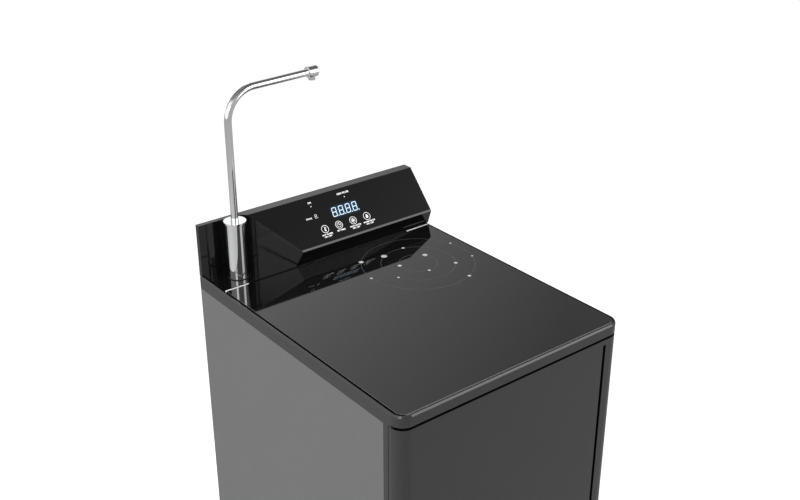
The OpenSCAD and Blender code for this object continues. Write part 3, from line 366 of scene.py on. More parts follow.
cartridge_low, cartridge_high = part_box("filter_cartridge_1")
cartridge_r = (cartridge_high.x - cartridge_low.x) / 2
cartridge_mid = (cartridge_low + cartridge_high) / 2
sleeve_z = cartridge_low.z + SLEEVE_SHARE * (cartridge_high.z - cartridge_low.z)
first_sleeve = start(
    "filter_sleeve_1", bpy.ops.mesh.primitive_circle_add, vertices=96,
    radius=cartridge_r + SLEEVE_FIT,
    location=(cartridge_mid.x, cartridge_mid.y, sleeve_z - SLEEVE_H / 2),
)
bpy.ops.object.mode_set(mode="EDIT")
bpy.ops.mesh.select_all(action="SELECT")
bpy.ops.mesh.extrude_region_move(TRANSFORM_OT_translate={"value": (0, 0, SLEEVE_H)})
bpy.ops.mesh.select_all(action="SELECT")
bpy.ops.mesh.normals_make_consistent(inside=False)
work(first_sleeve, "SOLIDIFY", thickness=SLEEVE_T, offset=1.0)
sleeves = [first_sleeve]
for stage in STAGES[1:]:
    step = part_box("filter_cartridge_%d" % stage)[0].x - cartridge_low.x
    sleeves.append(copy_of(first_sleeve, "filter_sleeve_%d" % stage, (step, 0, 0)))
sleeve_group = make_sleeve_group()
for stage, sleeve, look in zip(STAGES, sleeves, SLEEVE_TONES):
    film, film_tree, film_shader = blank_material("sleeve_film_%d" % stage, Roughness=0.3)
    printed = shader_node(
        film_tree, "Group",
        dict(
            Field=tone(*look), Line=tone(232, 233, 232), Middle=sleeve_z,
            Half=SLEEVE_H / 2 - SLEEVE_LINE_IN,
        ),
        node_tree=sleeve_group,
    )
    wire(film_tree, film_shader, Base_Color=printed.outputs["Colour"])
    settle(sleeve, film, "filter_%d" % stage)


# Pump, supply, tanks and lines: bought-in units on the tray, the partition and the shelf.
# Black housings, a brushed stainless hot tank with a brass band, and milky polyethylene tube.
dark_moulding = skin_material(
    "dark_moulding", tone(48, 48, 50), 0.5, cloud=0.2, grain=1400.0, depth=0.00005,
)
dress(
    dark_moulding, "booster_pump", "power_supply", "drain_caps", "cord_gland", "switch_frame",
    "condenser_clips",
)
black_enamel = skin_material(
    "black_enamel", tone(34, 34, 36), 0.28, cloud=0.2, grain=500.0, depth=0.00003,
)
dress(black_enamel, "compressor", "condenser_tube", "condenser_wires")
stainless = skin_material(
    "brushed_stainless", tone(186, 187, 189), 0.3, cloud=0.1, spread=0.2, Metallic=1.0,
)
dress(stainless, "hot_tank")
brass = skin_material("turned_brass", tone(196, 164, 96), 0.3, cloud=0.15, spread=0.2, Metallic=1.0)
dress(brass, "heater_band", "faucet_nut")
milky_tube = skin_material(
    "milky_tube", tone(222, 224, 224), 0.35, cloud=0.05, Subsurface_Weight=0.2,
)
dress(milky_tube, "water_lines")
dress(skin_material("solder_mask", tone(28, 86, 52), 0.35, cloud=0.2), "control_board")
magnet_block = skin_material(
    "sintered_magnet", tone(60, 60, 62), 0.55, cloud=0.3, grain=1800.0, depth=0.00006,
)
dress(magnet_block, "door_magnet")


# Rear connections: push-in tube fittings, drain caps, cord gland and the two rocker switches.
# Acetal and nylon mouldings; blue marks the supply, red the heater and green the cooler.
dress(skin_material("blue_acetal", tone(46, 92, 168), 0.35), "inlet_fitting")
dress(skin_material("red_nylon", tone(168, 36, 32), 0.3), "heat_rocker")
dress(skin_material("green_nylon", tone(40, 120, 74), 0.3), "cool_rocker")


# Collets: grey acetal rings in the mouths of the two tube fittings, pressed in to free the tube.
# Each is turned with a bore for the tube and a broken edge.
COLLET_R, COLLET_BORE, COLLET_OUT = 0.0048, 0.00325, 0.0022
COLLET_EDGE = 0.0005
BORE_CUT = 0.02
grey_acetal = skin_material("grey_acetal", tone(120, 122, 125), 0.4, cloud=0.08)
for collet_name, fitting in (("supply_collet", "inlet_fitting"), ("waste_collet", "waste_fitting")):
    low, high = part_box(fitting)
    mouth = ((low.x + high.x) / 2, high.y + COLLET_OUT / 2, (low.z + high.z) / 2)
    collet, bore = [
        start(
            collet_name + part, bpy.ops.mesh.primitive_cylinder_add, vertices=48, radius=radius,
            depth=depth, location=mouth, rotation=(math.pi / 2, 0, 0),
        )
        for part, radius, depth in (("", COLLET_R, COLLET_OUT), ("_bore", COLLET_BORE, BORE_CUT))
    ]
    cut_away(collet, bore)
    work(collet, "BEVEL", width=COLLET_EDGE, segments=3, limit_method="ANGLE")
    settle(collet, grey_acetal, "cabinet")


# Switch marks: a bar and a ring printed in white on the two halves of each rocker.
# The lower half lies flush at rest and the upper half stands out by the full tilt.
def pick(piece, kind, test):
    """Edit mode on a piece, with only those faces, edges or corners selected that pass a test."""
    alone(piece)
    bpy.ops.object.mode_set(mode="EDIT")
    bpy.ops.mesh.select_mode(type=kind)
    bpy.ops.mesh.select_all(action="DESELECT")
    shape = bmesh.from_edit_mesh(piece.data)
    for part in {"FACE": shape.faces, "EDGE": shape.edges, "VERT": shape.verts}[kind]:
        part.select_set(bool(test(part)))
    shape.select_flush_mode()
    bmesh.update_edit_mesh(piece.data)


def runs_along(edge, axis):
    """Whether an edge lies along an axis, 0 to 2."""
    return abs((edge.verts[0].co - edge.verts[1].co).normalized()[axis]) > 0.9


MARK_T = 0.00004
BAR_ROUND = 0.35


def bar(name, width, length, at=(0, 0), turn=0.0):
    """A flat printed bar with round corners, lying at the origin."""
    piece = block(name, (-width / 2, -length / 2, 0), (width / 2, length / 2, MARK_T))
    pick(piece, "EDGE", lambda edge: runs_along(edge, 2))
    bpy.ops.mesh.bevel(offset=min(width, length) * BAR_ROUND, segments=3)
    piece.rotation_euler.z = turn
    piece.location = (at[0], at[1], 0)
    fix_place(piece)
    return piece


def ring(name, outer, inner, at=(0, 0), vertices=56):
    """A flat printed ring, lying at the origin."""
    middle = (at[0], at[1], 0)
    piece = start(
        name, bpy.ops.mesh.primitive_circle_add, vertices=vertices, radius=outer, location=middle,
    )
    pick(piece, "EDGE", lambda edge: True)
    bpy.ops.mesh.extrude_region()
    bpy.ops.transform.resize(value=(inner / outer, inner / outer, 1), center_override=middle)
    bpy.ops.mesh.select_all(action="SELECT")
    bpy.ops.mesh.normals_make_consistent(inside=False)
    work(piece, "SOLIDIFY", thickness=MARK_T, offset=1.0)
    return piece


SWITCH_TILT = math.radians(16)
SWITCH_LIFT = 0.00003
ON_BAR, ON_PLACE = (0.0012, 0.0048), (0.189423, 0.160540)
OFF_RING, OFF_PLACE = (0.0025, 0.0015), (0.187961, 0.150142)
print_white = skin_material("print_white", tone(232, 233, 234), 0.5, cloud=0.05)
for switch, rocker_x in (("heat", 0.058), ("cool", 0.078)):
    for mark, place, turn in (
        (bar(switch + "_on_mark", *ON_BAR), ON_PLACE, -math.pi / 2 - SWITCH_TILT),
        (ring(switch + "_off_mark", *OFF_RING), OFF_PLACE, -math.pi / 2),
    ):
        out = Vector((0, -math.sin(turn), math.cos(turn)))
        mark.rotation_euler = (turn, 0, 0)
        mark.location = Vector((rocker_x, *place)) + SWITCH_LIFT * out
        settle(mark, print_white, switch + "_switch")


# Worktop: charcoal cover with a bevelled rim, black glass laid into it, and the gloss deck behind.
# The glass is 6 mm toughened sheet, printed black on its underside.
# Its ground edge is bare and light grey along the front and the upper arris, which also paints the
# thin highlight lines on those edges, and inked black elsewhere.
def make_handled_group():
    """Polished surface that has been wiped: faint smears in the gloss and single dust specks."""
    tree, given, made = shader_group(
        "Handled",
        dict(Roughness="Float", Smear="Float", Colour="Color", Dust="Color"),
        dict(Roughness="Float", Colour="Color"),
    )
    place = object_place(tree)
    stretch = shader_node(
        tree, "Mapping", {"Vector": place, "Rotation": (0, 0, 0.6), "Scale": (7.0, 30.0, 18.0)},
    )
    smear = shader_node(
        tree, "TexNoise",
        {"Vector": stretch.outputs["Vector"], "Scale": 1.0, "Detail": 5.0, "Distortion": 0.6},
    )
    patches = ramp(tree, smear.outputs["Fac"], (0.45, 0.75))
    specks = shader_node(tree, "TexVoronoi", {"Vector": place, "Scale": 110.0, "Randomness": 1.0})
    spot = ramp(tree, specks.outputs["Distance"], (0.02, 0.045), (1.0, 0.0))
    wire(
        tree, made,
        Roughness=reckon(tree, "MULTIPLY_ADD", patches, given["Smear"], given["Roughness"]),
        Colour=mixed(tree, spot, given["Colour"], given["Dust"]),
    )
    return tree


handled_group = make_handled_group()


def polished_material(name, colour, dust, roughness, smear, **sockets):
    """A polished finish with faint smears and dust."""
    material, tree, shader = blank_material(name, **sockets)
    handled = shader_node(
        tree, "Group", dict(Roughness=roughness, Smear=smear, Colour=colour, Dust=dust),
        node_tree=handled_group,
    )
    wire(tree, shader, Base_Color=handled.outputs["Colour"], Roughness=handled.outputs["Roughness"])
    return material


def feeding(shader, socket):
    """The output that already feeds one of the shader's inputs."""
    return shader.inputs[socket].links[0].from_socket


GLOSS = dict(roughness=0.02, smear=0.04, IOR=1.5)
GROUND_W = 0.0011
GROUND_CORNER = math.radians(40)
HIGHLIT_FRONT = (-0.2045, -0.2062)
HIGHLIT_TOP = (0.89955, 0.89975)
EDGE_INK = tone(4, 4, 4)
WELD_REACH = 0.00001
dress(charcoal, "top_cover")
dress(polished_material("black_glass", tone(13, 13, 14), tone(40, 40, 42), **GLOSS), "glass_top")
# Light grey on the bare part of the ground edge: partly the ground glass's own colour, partly a
# painted highlight for the thin light lines on the glass's front and upper edges.
ground_edge_highlight = skin_material(
    "ground_edge_highlight", tone(110, 111, 112), 0.55, cloud=0.1, grain=1800.0, depth=0.00002,
    Specular_IOR_Level=0.05,
)
edge_tree = ground_edge_highlight.node_tree
edge_shader = edge_tree.nodes["Principled BSDF"]
edge_place = shader_node(edge_tree, "SeparateXYZ", {0: object_place(edge_tree)})
# Where the painted edge highlight shows: along the front and the upper arris.
highlit_share = reckon(
    edge_tree, "MAXIMUM", ramp(edge_tree, edge_place.outputs["Y"], HIGHLIT_FRONT),
    ramp(edge_tree, edge_place.outputs["Z"], HIGHLIT_TOP),
)
highlight_grey = feeding(edge_shader, "Base Color")
wire(edge_tree, edge_shader, Base_Color=mixed(edge_tree, highlit_share, EDGE_INK, highlight_grey))
glass = nodes["glass_top"]
glass.data.materials.append(ground_edge_highlight)
glass.modifiers.new("weld", "WELD").merge_threshold = WELD_REACH
ease = glass.modifiers.new("ease", "BEVEL")
ease.width, ease.segments = GROUND_W, 1
ease.limit_method, ease.angle_limit = "ANGLE", GROUND_CORNER
ease.use_clamp_overlap = False
ease.harden_normals = True
ease.material = 1
PIANO_BLACK, PIANO_DUST = tone(17, 17, 18), tone(44, 44, 46)
gloss_black = polished_material("gloss_black", PIANO_BLACK, PIANO_DUST, **GLOSS)
dress(gloss_black, "deck_plate")


# Glass bead: black silicone in the gap round the glass, which bonds it into the cover's rim; its near
# black also paints the shade in the gap.
# It runs along both sides and the front and is smoothed off just under the rim's edge.
def round_corners(piece, radius, front):
    """Rounds those upright edges of a block that lie ahead of a line."""
    pick(piece, "EDGE", lambda edge: runs_along(edge, 2) and edge.verts[0].co.y < front)
    bpy.ops.mesh.bevel(offset=radius, segments=16)
    alone(piece)


GLASS_GAP, GLASS_FRONT_GAP = 0.0018, 0.0010
GLASS_CORNER = 0.012
BEAD_FIT = 0.00005
BEAD_TOP = 0.8968
CUT_PAST = 0.01
glass_low, glass_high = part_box("glass_top")
outwards = Vector((GLASS_GAP - BEAD_FIT, GLASS_FRONT_GAP - BEAD_FIT, 0))
glass_bead = block(
    "glass_bead", glass_low - outwards + Vector((0, 0, BEAD_FIT)),
    (glass_high.x + outwards.x, glass_high.y, BEAD_TOP),
)
round_corners(glass_bead, GLASS_CORNER + outwards.x, front=0)
glass_room = block(
    "glass_room", glass_low - Vector((BEAD_FIT, BEAD_FIT, CUT_PAST)),
    glass_high + Vector((BEAD_FIT, CUT_PAST, CUT_PAST)),
)
round_corners(glass_room, GLASS_CORNER + BEAD_FIT, front=0)
cut_away(glass_bead, glass_room)
# Near black with a weak specular level: painted shade, used for the glass bead, the groove liner and
# the door's top strip.
painted_shade_black = skin_material(
    "painted_shade_black", tone(5, 5, 5), 0.6, cloud=0.2, grain=900.0, Specular_IOR_Level=0.05,
)
settle(glass_bead, painted_shade_black, "cabinet")


# Rear joint: a gloss black strip closes the joint behind the glass, and a white clip holds each end.
# The clips are moulded in acetal, with a face that leans to the front and broken edges; their white
# paints the highlight along the rear edge of the glass at both ends.
JOINT_FIT = 0.0001
JOINT_TOP = 0.8999
FINE_EDGE = 0.0002
CLIP_W = 0.0014
CLIP_TOP = 0.9003
CLIP_LEAN = 0.0005
CLIPS = (("glass_highlight_clip_left", -0.1660, -0.1320), ("glass_highlight_clip_right", 0.1280, 0.1660))
joint_front = glass_high.y + JOINT_FIT
joint_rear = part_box("deck_plate")[0].y - JOINT_FIT
joint_bottom = glass_low.z + BEAD_FIT
joint_bead = block(
    "joint_bead", (glass_low.x, joint_front + CLIP_W, joint_bottom),
    (glass_high.x, joint_rear, JOINT_TOP),
)
work(joint_bead, "BEVEL", width=FINE_EDGE, segments=2, limit_method="ANGLE")
settle(joint_bead, gloss_black, "cabinet")
# Near white: a painted highlight on the clips, standing for the glint along the glass's rear edge.
white_acetal_highlight = skin_material("white_acetal_highlight", tone(244, 245, 245), 0.25, cloud=0.03)


def on_front_arris(edge):
    """Whether an edge of a clip is its upper front one."""
    return all(v.co.z > JOINT_TOP and v.co.y < joint_front + JOINT_FIT for v in edge.verts)


for clip_name, clip_left, clip_right in CLIPS:
    clip = block(
        clip_name, (clip_left, joint_front, joint_bottom),
        (clip_right, joint_front + CLIP_W - BEAD_FIT, CLIP_TOP),
    )
    pick(clip, "EDGE", on_front_arris)
    bpy.ops.transform.translate(value=(0, 0, -CLIP_LEAN))
    work(clip, "BEVEL", width=FINE_EDGE, segments=2, limit_method="ANGLE")
    settle(clip, white_acetal_highlight, "cabinet")


# Glass print: a ripple of thin rings with dots of several sizes, fired on in white and grey.
# One dot and one ring are drawn and repeated round the same middle.
def disc(name, radius, at=(0, 0), vertices=40):
    """A flat printed disc, lying at the origin."""
    piece = start(
        name, bpy.ops.mesh.primitive_circle_add, vertices=vertices, radius=radius,
        fill_type="NGON", location=(at[0], at[1], 0),
    )
    work(piece, "SOLIDIFY", thickness=MARK_T, offset=1.0)
    return piece


def join(name, *pieces):
    """Several shapes made one piece."""
    alone(pieces[0])
    for piece in pieces[1:]:
        piece.select_set(True)
    bpy.ops.object.join()
    pieces[0].name = pieces[0].data.name = name
    return pieces[0]


RIPPLE_AT = (0.076, 0.062)
RIPPLE_RINGS = (0.026, 0.050, 0.076)
RIPPLE_LINE = 0.0005
RIPPLE_LIFT, DOT_LIFT = 0.00001, 0.00003
# Ring, angle and radius of each dot.
RIPPLE_DOTS = (
    (0, 30, 0.0034), (0, 160, 0.0028), (0, 265, 0.0020),
    (1, 75, 0.0022), (1, 118, 0.0042), (1, 200, 0.0018), (1, 322, 0.0026),
    (2, 15, 0.0016), (2, 140, 0.0034), (2, 178, 0.0020), (2, 292, 0.0024), (2, 338, 0.0016),
)


def round_place(reach, angle, middle=(0, 0)):
    """A place round a middle, at an angle in degrees."""
    turn = math.radians(angle)
    return middle[0] + reach * math.cos(turn), middle[1] + reach * math.sin(turn)


fired_white = skin_material("fired_white", tone(226, 228, 228), 0.35, cloud=0.06)
fired_grey = skin_material("fired_grey", tone(96, 98, 98), 0.35, cloud=0.1)
glass_dots = join("glass_dots", *[
    disc("dot", radius, round_place(RIPPLE_RINGS[step], angle, RIPPLE_AT), vertices=24)
    for step, angle, radius in RIPPLE_DOTS
])
glass_ripples = join("glass_ripples", *[
    ring("ripple", reach, reach - RIPPLE_LINE, RIPPLE_AT, vertices=120) for reach in RIPPLE_RINGS
])
for printed_piece, paint, lift in (
    (glass_dots, fired_white, DOT_LIFT), (glass_ripples, fired_grey, RIPPLE_LIFT),
):
    printed_piece.location.z = glass_high.z + lift
    settle(printed_piece, paint, "cabinet")


# Console: gloss black shell moulded in one with the splash wall, and a smoked lens on its slope.
# The slanted left end is satin. Board, display, lamps and key springs sit behind the lens.
END_OUT = (-0.66552, -0.74638, 0)
END_AWAY = 0.0783075
END_REACH = (0.0001, 0.0002)
SATIN = 0.10
console_gloss = polished_material("console_gloss", PIANO_BLACK, PIANO_DUST, **GLOSS)
gloss_tree = console_gloss.node_tree
gloss_shader = gloss_tree.nodes["Principled BSDF"]
along_end = shader_node(
    gloss_tree, "VectorMath", {0: object_place(gloss_tree), 1: END_OUT}, operation="DOT_PRODUCT",
)
off_end = reckon(
    gloss_tree, "ABSOLUTE", reckon(gloss_tree, "ADD", along_end.outputs["Value"], END_AWAY),
)
satin = ramp(gloss_tree, off_end, END_REACH, (SATIN, 0.0))
polish = feeding(gloss_shader, "Roughness")
wire(gloss_tree, gloss_shader, Roughness=reckon(gloss_tree, "ADD", satin, polish))
dress(console_gloss, "console_shell")
smoked_lens = polished_material("smoked_lens", tone(29, 29, 30), PIANO_DUST, 0.05, 0.05, IOR=1.5)
dress(smoked_lens, "control_lens")


# Key marks: four rings with a plain sign each, printed under the lens and lit from behind.
# They show where the touch springs lie: heat, clock, cold and water.
FACE_TURN = math.radians(47.2)
FACE_TOP = Vector((0, 0.1956, 0.9723))
FACE_LIFT = 0.00003
KEY_DOWN = 0.0493
KEY_ACROSS = (-0.0037, 0.0192, 0.0427, 0.0660)
KEY_RING = (0.0056, 0.0050)
lit_print = skin_material(
    "lit_print", tone(236, 237, 238), 0.4, cloud=0.04,
    Emission_Color=(1, 1, 1, 1), Emission_Strength=0.6,
)


def lay_on_face(piece, across, down, lift=FACE_LIFT):
    """Lays a flat piece on the sloping face, across from its middle and down from its upper edge."""
    along = Vector((0, -math.cos(FACE_TURN), -math.sin(FACE_TURN)))
    out = Vector((0, -math.sin(FACE_TURN), math.cos(FACE_TURN)))
    piece.rotation_euler = (FACE_TURN, 0, 0)
    piece.location = FACE_TOP + Vector((across, 0, 0)) + down * along + lift * out


def heat_sign():
    """A thermometer: bulb, stem and two marks."""
    marks = [bar("mark", 0.0013, 0.0005, (0.0017, height)) for height in (0.0022, 0.0008)]
    return [disc("bulb", 0.0013, (0, -0.0019)), bar("stem", 0.0012, 0.0046, (0, 0.0008)), *marks]


def clock_sign():
    """A dial with two hands."""
    hands = [bar("hand", 0.0006, 0.0023, (0, 0.0009)), bar("hand", 0.0019, 0.0006, (0.0007, 0))]
    return [ring("dial", 0.0034, 0.0028), *hands]


def cold_sign():
    """A snow star: three crossed bars with a pair of twigs at each end."""
    arms = [bar("arm", 0.0006, 0.0070, turn=math.radians(turn)) for turn in (0, 60, 120)]
    twigs = []
    for turn in range(0, 360, 60):
        for lean in (-45, 45):
            tilt = turn + lean
            at = round_place(0.0005, 90 + tilt, round_place(0.0024, 90 + turn))
            twigs.append(bar("twig", 0.0005, 0.0014, at, math.radians(tilt)))
    return arms + twigs


def drop_sign():
    """A drop: a disc whose upper side is drawn to a point."""
    radius, low = 0.0019, -0.0008
    drop = start(
        "drop", bpy.ops.mesh.primitive_circle_add, vertices=32, radius=radius, fill_type="NGON",
        location=(0, low, 0),
    )
    pick(drop, "VERT", lambda vert: vert.co.y > low + 0.99 * radius)
    bpy.ops.transform.translate(
        value=(0, radius * 1.1, 0), use_proportional_edit=True, proportional_edit_falloff="SHARP",
        proportional_size=radius * 1.6,
    )
    work(drop, "SOLIDIFY", thickness=MARK_T, offset=1.0)
    return [drop]


SIGNS = (heat_sign, clock_sign, cold_sign, drop_sign)
for key, (across, sign) in enumerate(zip(KEY_ACROSS, SIGNS), 1):
    key_mark = join("key_mark_%d" % key, ring("key_ring", *KEY_RING), *sign())
    lay_on_face(key_mark, across, KEY_DOWN)
    settle(key_mark, lit_print, "cabinet")


# Key legends: short plain words under the keys and beside the lamps, printed in white.
# Set as type, outlined and pressed into thin ink.
LEGEND_BOLD = 0.00006
LEGEND_LEADING = 1.05
# Name, words, letter height, and place across and down the face.
LEGENDS = (
    ("hot_legend", "HOT WATER\nON / OFF", 0.0029, -0.0034, 0.0588),
    ("timer_legend", "SET TIMER", 0.0029, 0.0194, 0.0572),
    ("cold_legend", "COLD WATER\nON / OFF", 0.0029, 0.0430, 0.0588),
    ("pour_legend", "WARM WATER\nON / OFF", 0.0029, 0.0663, 0.0588),
    ("power_legend", "ON", 0.0034, -0.0091, 0.0085),
    ("filter_legend", "NEW FILTER", 0.0036, 0.0460, 0.0078),
    ("stage_legend", "STAGE", 0.0030, -0.0199, 0.0297),
)
ink_white = skin_material(
    "ink_white", tone(232, 233, 234), 0.45, cloud=0.04,
    Emission_Color=(1, 1, 1, 1), Emission_Strength=0.8,
)
for name, words, height, across, down in LEGENDS:
    bpy.ops.object.select_all(action="DESELECT")
    bpy.ops.object.text_add()
    legend = bpy.context.object
    legend.data.body = words
    legend.data.size = height
    legend.data.align_x = legend.data.align_y = "CENTER"
    legend.data.space_line = LEGEND_LEADING
    legend.data.offset = LEGEND_BOLD
    legend.data.extrude = MARK_T / 2
    legend.data.resolution_u = 3
    alone(legend)
    bpy.ops.object.convert(target="MESH")
    legend = bpy.context.object
    legend.name = legend.data.name = name
    lay_on_face(legend, across, down)
    settle(legend, ink_white, "cabinet")


# Display: four seven-segment digits with points and a smaller fifth, cool white on a dark blue field.
# One bar is cut to points at both ends, seven of them make a digit, and the digit is repeated.
SEGMENT_W, SEGMENT_L = 0.00098, 0.0060
DIGIT_W, DIGIT_H = 0.0063, 0.0122
DIGIT_SLANT = math.radians(8)
DIGIT_PITCH = 0.0112
POINT_R, POINT_AWAY = 0.0008, 0.0014
DISPLAY_ACROSS, DISPLAY_DOWN = 0.0211, 0.0305
STAGE_SCALE, STAGE_ACROSS, STAGE_DOWN = 0.44, -0.0084, 0.0287
COOL_WHITE, PALE_WHITE = (0.70, 0.89, 1.0, 1), (0.86, 0.97, 1.0, 1)
segment_glow, segment_tree, segment_shader = blank_material(
    "segment_glow", Base_Color=tone(150, 170, 185), Roughness=0.4, Emission_Strength=1.0,
)
bloom = shader_node(
    segment_tree, "TexNoise",
    {"Vector": object_place(segment_tree), "Scale": 900.0, "Detail": 2.0},
)
wire(
    segment_tree, segment_shader,
    Emission_Color=mixed(segment_tree, bloom.outputs["Fac"], COOL_WHITE, PALE_WHITE),
)


def segment():
    """One upright bar of a digit, pointed at both ends."""
    radius = SEGMENT_W / 2 / math.sin(math.radians(60))
    piece = start(
        "segment", bpy.ops.mesh.primitive_circle_add, vertices=6, radius=radius, fill_type="NGON",
    )
    for side in (-1, 1):
        pick(piece, "VERT", lambda vert: side * vert.co.y > radius / 4)
        bpy.ops.transform.translate(value=(0, side * (SEGMENT_L / 2 - radius), 0))
    work(piece, "SOLIDIFY", thickness=MARK_T, offset=1.0)
    return piece


def digit(name):
    """An eight of seven bars with its point."""
    first = segment()
    lean = math.tan(DIGIT_SLANT)
    places = [(math.pi / 2, 0, level * DIGIT_H / 2) for level in (-1, 0, 1)]
    for level in (-1, 1):
        places += [(-DIGIT_SLANT, side * DIGIT_W / 2, level * DIGIT_H / 4) for side in (-1, 1)]
    bars = []
    for turn, aside, height in places:
        one = copy_of(first, "bar")
        one.rotation_euler.z = turn
        one.location = (aside + lean * height, height, 0)
        fix_place(one)
        bars.append(one)
    bpy.data.objects.remove(first)
    point = disc("point", POINT_R, (DIGIT_W / 2 + POINT_AWAY, -DIGIT_H / 2), vertices=16)
    return join(name, *bars, point)


first_digit = digit("digit_1")
digits = [first_digit] + [copy_of(first_digit, "digit_%d" % place) for place in (2, 3, 4)]
stage_digit = copy_of(first_digit, "stage_digit")
for place, one in enumerate(digits):
    lay_on_face(one, DISPLAY_ACROSS + place * DIGIT_PITCH, DISPLAY_DOWN, lift=2 * FACE_LIFT)
    settle(one, segment_glow, "cabinet")
stage_digit.scale = (STAGE_SCALE, STAGE_SCALE, 1)
lay_on_face(stage_digit, STAGE_ACROSS, STAGE_DOWN)
settle(stage_digit, lit_print, "cabinet")

FIELD_W, FIELD_H = 0.050, 0.0200
FIELD_ACROSS = DISPLAY_ACROSS + 1.55 * DIGIT_PITCH
FIELD_FADE = (0.60, 1.0)
display_field = bar("display_field", FIELD_W, FIELD_H)
lay_on_face(display_field, FIELD_ACROSS, DISPLAY_DOWN, lift=FACE_LIFT / 3)
field_glow, field_tree, field_shader = blank_material(
    "field_glow", Base_Color=tone(29, 29, 30), Roughness=0.06, IOR=1.5, Emission_Strength=1.0,
)
flat_place = shader_node(
    field_tree, "Mapping",
    {
        "Vector": object_place(field_tree), "Location": display_field.location.copy(),
        "Rotation": (FACE_TURN, 0, 0),
    },
    vector_type="TEXTURE",
)
field_share = shader_node(
    field_tree, "VectorMath", {0: flat_place.outputs["Vector"], 1: (2 / FIELD_W, 2 / FIELD_H, 0)},
    operation="MULTIPLY",
)
sides = shader_node(field_tree, "SeparateXYZ", {0: field_share.outputs["Vector"]})
fades = [
    ramp(
        field_tree, reckon(field_tree, "ABSOLUTE", sides.outputs[side]), FIELD_FADE, (1.0, 0.0),
        interpolation_type="SMOOTHSTEP",
    )
    for side in ("X", "Y")
]
inner = reckon(field_tree, "MULTIPLY", *fades)
wire(
    field_tree, field_shader,
    Emission_Color=mixed(field_tree, inner, (0, 0, 0, 1), tone(26, 58, 88)),
)
settle(display_field, field_glow, "cabinet")


# Lamp lenses: two tiny clear domes over the indicator lamps, bonded into the panel.
# Each is the cap of a ball, cut off flat.
LAMP_R, LAMP_FLATNESS = 0.0007, 0.5
LAMP_CUT_REACH = 0.000001
LAMP_DOWN = 0.0137
for lamp_name, across in (("power_lamp", -0.0090), ("filter_lamp", 0.0461)):
    dome = start(
        lamp_name, bpy.ops.mesh.primitive_uv_sphere_add, segments=20, ring_count=12,
        radius=LAMP_R, scale=(1, 1, LAMP_FLATNESS),
    )
    pick(dome, "FACE", lambda face: True)
    bpy.ops.mesh.bisect(
        plane_co=(0, 0, 0), plane_no=(0, 0, 1), clear_inner=True, use_fill=True,
        threshold=LAMP_CUT_REACH,
    )
    bpy.ops.mesh.select_all(action="SELECT")
    bpy.ops.mesh.normals_make_consistent(inside=False)
    lay_on_face(dome, across, LAMP_DOWN)
    settle(dome, lit_print, "cabinet", angle=60)


# Faucet and spout: chrome-plated brass body, collar, bent tube, end piece and nozzle.
# The plating is bright with faint water marks.
chrome = polished_material(
    "chrome_plate", tone(245, 246, 247), tone(206, 207, 208), 0.02, 0.03, Metallic=1.0,
)
dress(chrome, "faucet_body", "swivel_collar", "spout_tube", "spout_end", "outlet_nozzle")


# Flow insert: white disc with seven holes, pressed into the nozzle to calm the stream.
# It sits a little inside the nozzle's mouth and turns with the spout.
INSERT_R, INSERT_T, INSERT_IN = 0.00336, 0.0012, 0.0006
HOLE_R, HOLE_CIRCLE = 0.0005, 0.0018
nozzle_low, nozzle_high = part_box("outlet_nozzle")
nozzle_at = ((nozzle_low.x + nozzle_high.x) / 2, (nozzle_low.y + nozzle_high.y) / 2)
insert_z = nozzle_low.z + INSERT_IN
flow_insert = post("flow_insert", INSERT_R, insert_z, insert_z + INSERT_T, nozzle_at, vertices=40)
work(flow_insert, "BEVEL", width=FINE_EDGE, segments=2, limit_method="ANGLE")
for hole_at in (
    nozzle_at, *[round_place(HOLE_CIRCLE, angle, nozzle_at) for angle in range(0, 360, 60)],
):
    cut_away(flow_insert, post(
        "stream_hole", HOLE_R, insert_z - CUT_PAST, insert_z + CUT_PAST, hole_at, vertices=12,
    ))
settle(flow_insert, white_moulding, "spout")


# Door: charcoal shell with round corners and a long pull groove, closed by a smooth grey liner.
# It turns on two steel pins at its left edge and a magnet in the right stile holds it shut.
dress(charcoal, "front_door")
dress(skin_material("liner_skin", tone(112, 113, 115), 0.5, cloud=0.08), "door_liner")


# Groove shade liner: black ABS channel pressed into the door's long groove, where the fingers pull;
# its black paints the shade in the groove.
# Moulded with round ends and an open front.
GROOVE_X, GROOVE_W, GROOVE_DEPTH = 0.1434, 0.0046, 0.0070
GROOVE_END = 0.0065
LINER_FIT, LINER_WALL, LINER_SET = 0.00004, 0.0004, 0.0003
LINER_FLOOR = 0.001
door_low, door_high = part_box("front_door")
liner_half = GROOVE_W / 2 - LINER_FIT
liner_end = GROOVE_END + LINER_FIT
# Painted shade: the liner's black stands in for the shade inside the groove.
groove_shade_liner = block(
    "groove_shade_liner", (GROOVE_X - liner_half, door_low.y + LINER_SET, door_low.z + liner_end),
    (GROOVE_X + liner_half, door_low.y + GROOVE_DEPTH - LINER_FIT, door_high.z - liner_end),
)
pick(groove_shade_liner, "EDGE", lambda edge: runs_along(edge, 1))
bpy.ops.mesh.bevel(offset=liner_half - LINER_FIT, segments=8)
pick(groove_shade_liner, "FACE", lambda face: face.normal.y < -0.9)
bpy.ops.mesh.inset(thickness=LINER_WALL, depth=0)
bpy.ops.mesh.extrude_region_move(
    TRANSFORM_OT_translate={"value": (0, GROOVE_DEPTH - LINER_SET - LINER_FLOOR, 0)},
)
settle(groove_shade_liner, painted_shade_black, "door")


# Top shade strip: black foam strip on the door's upper edge, which quietens the joint there; its
# black paints the shade seen in that joint.
# Cut to the door's outline, with room for the hinge pin.
SEAL_IN = 0.0005
SEAL_LIFT, SEAL_T = 0.00002, 0.0005
SEAL_PIN_ROOM = 0.0030
DOOR_CORNER = 0.016
DOOR_CORNER_FRONT = -0.2
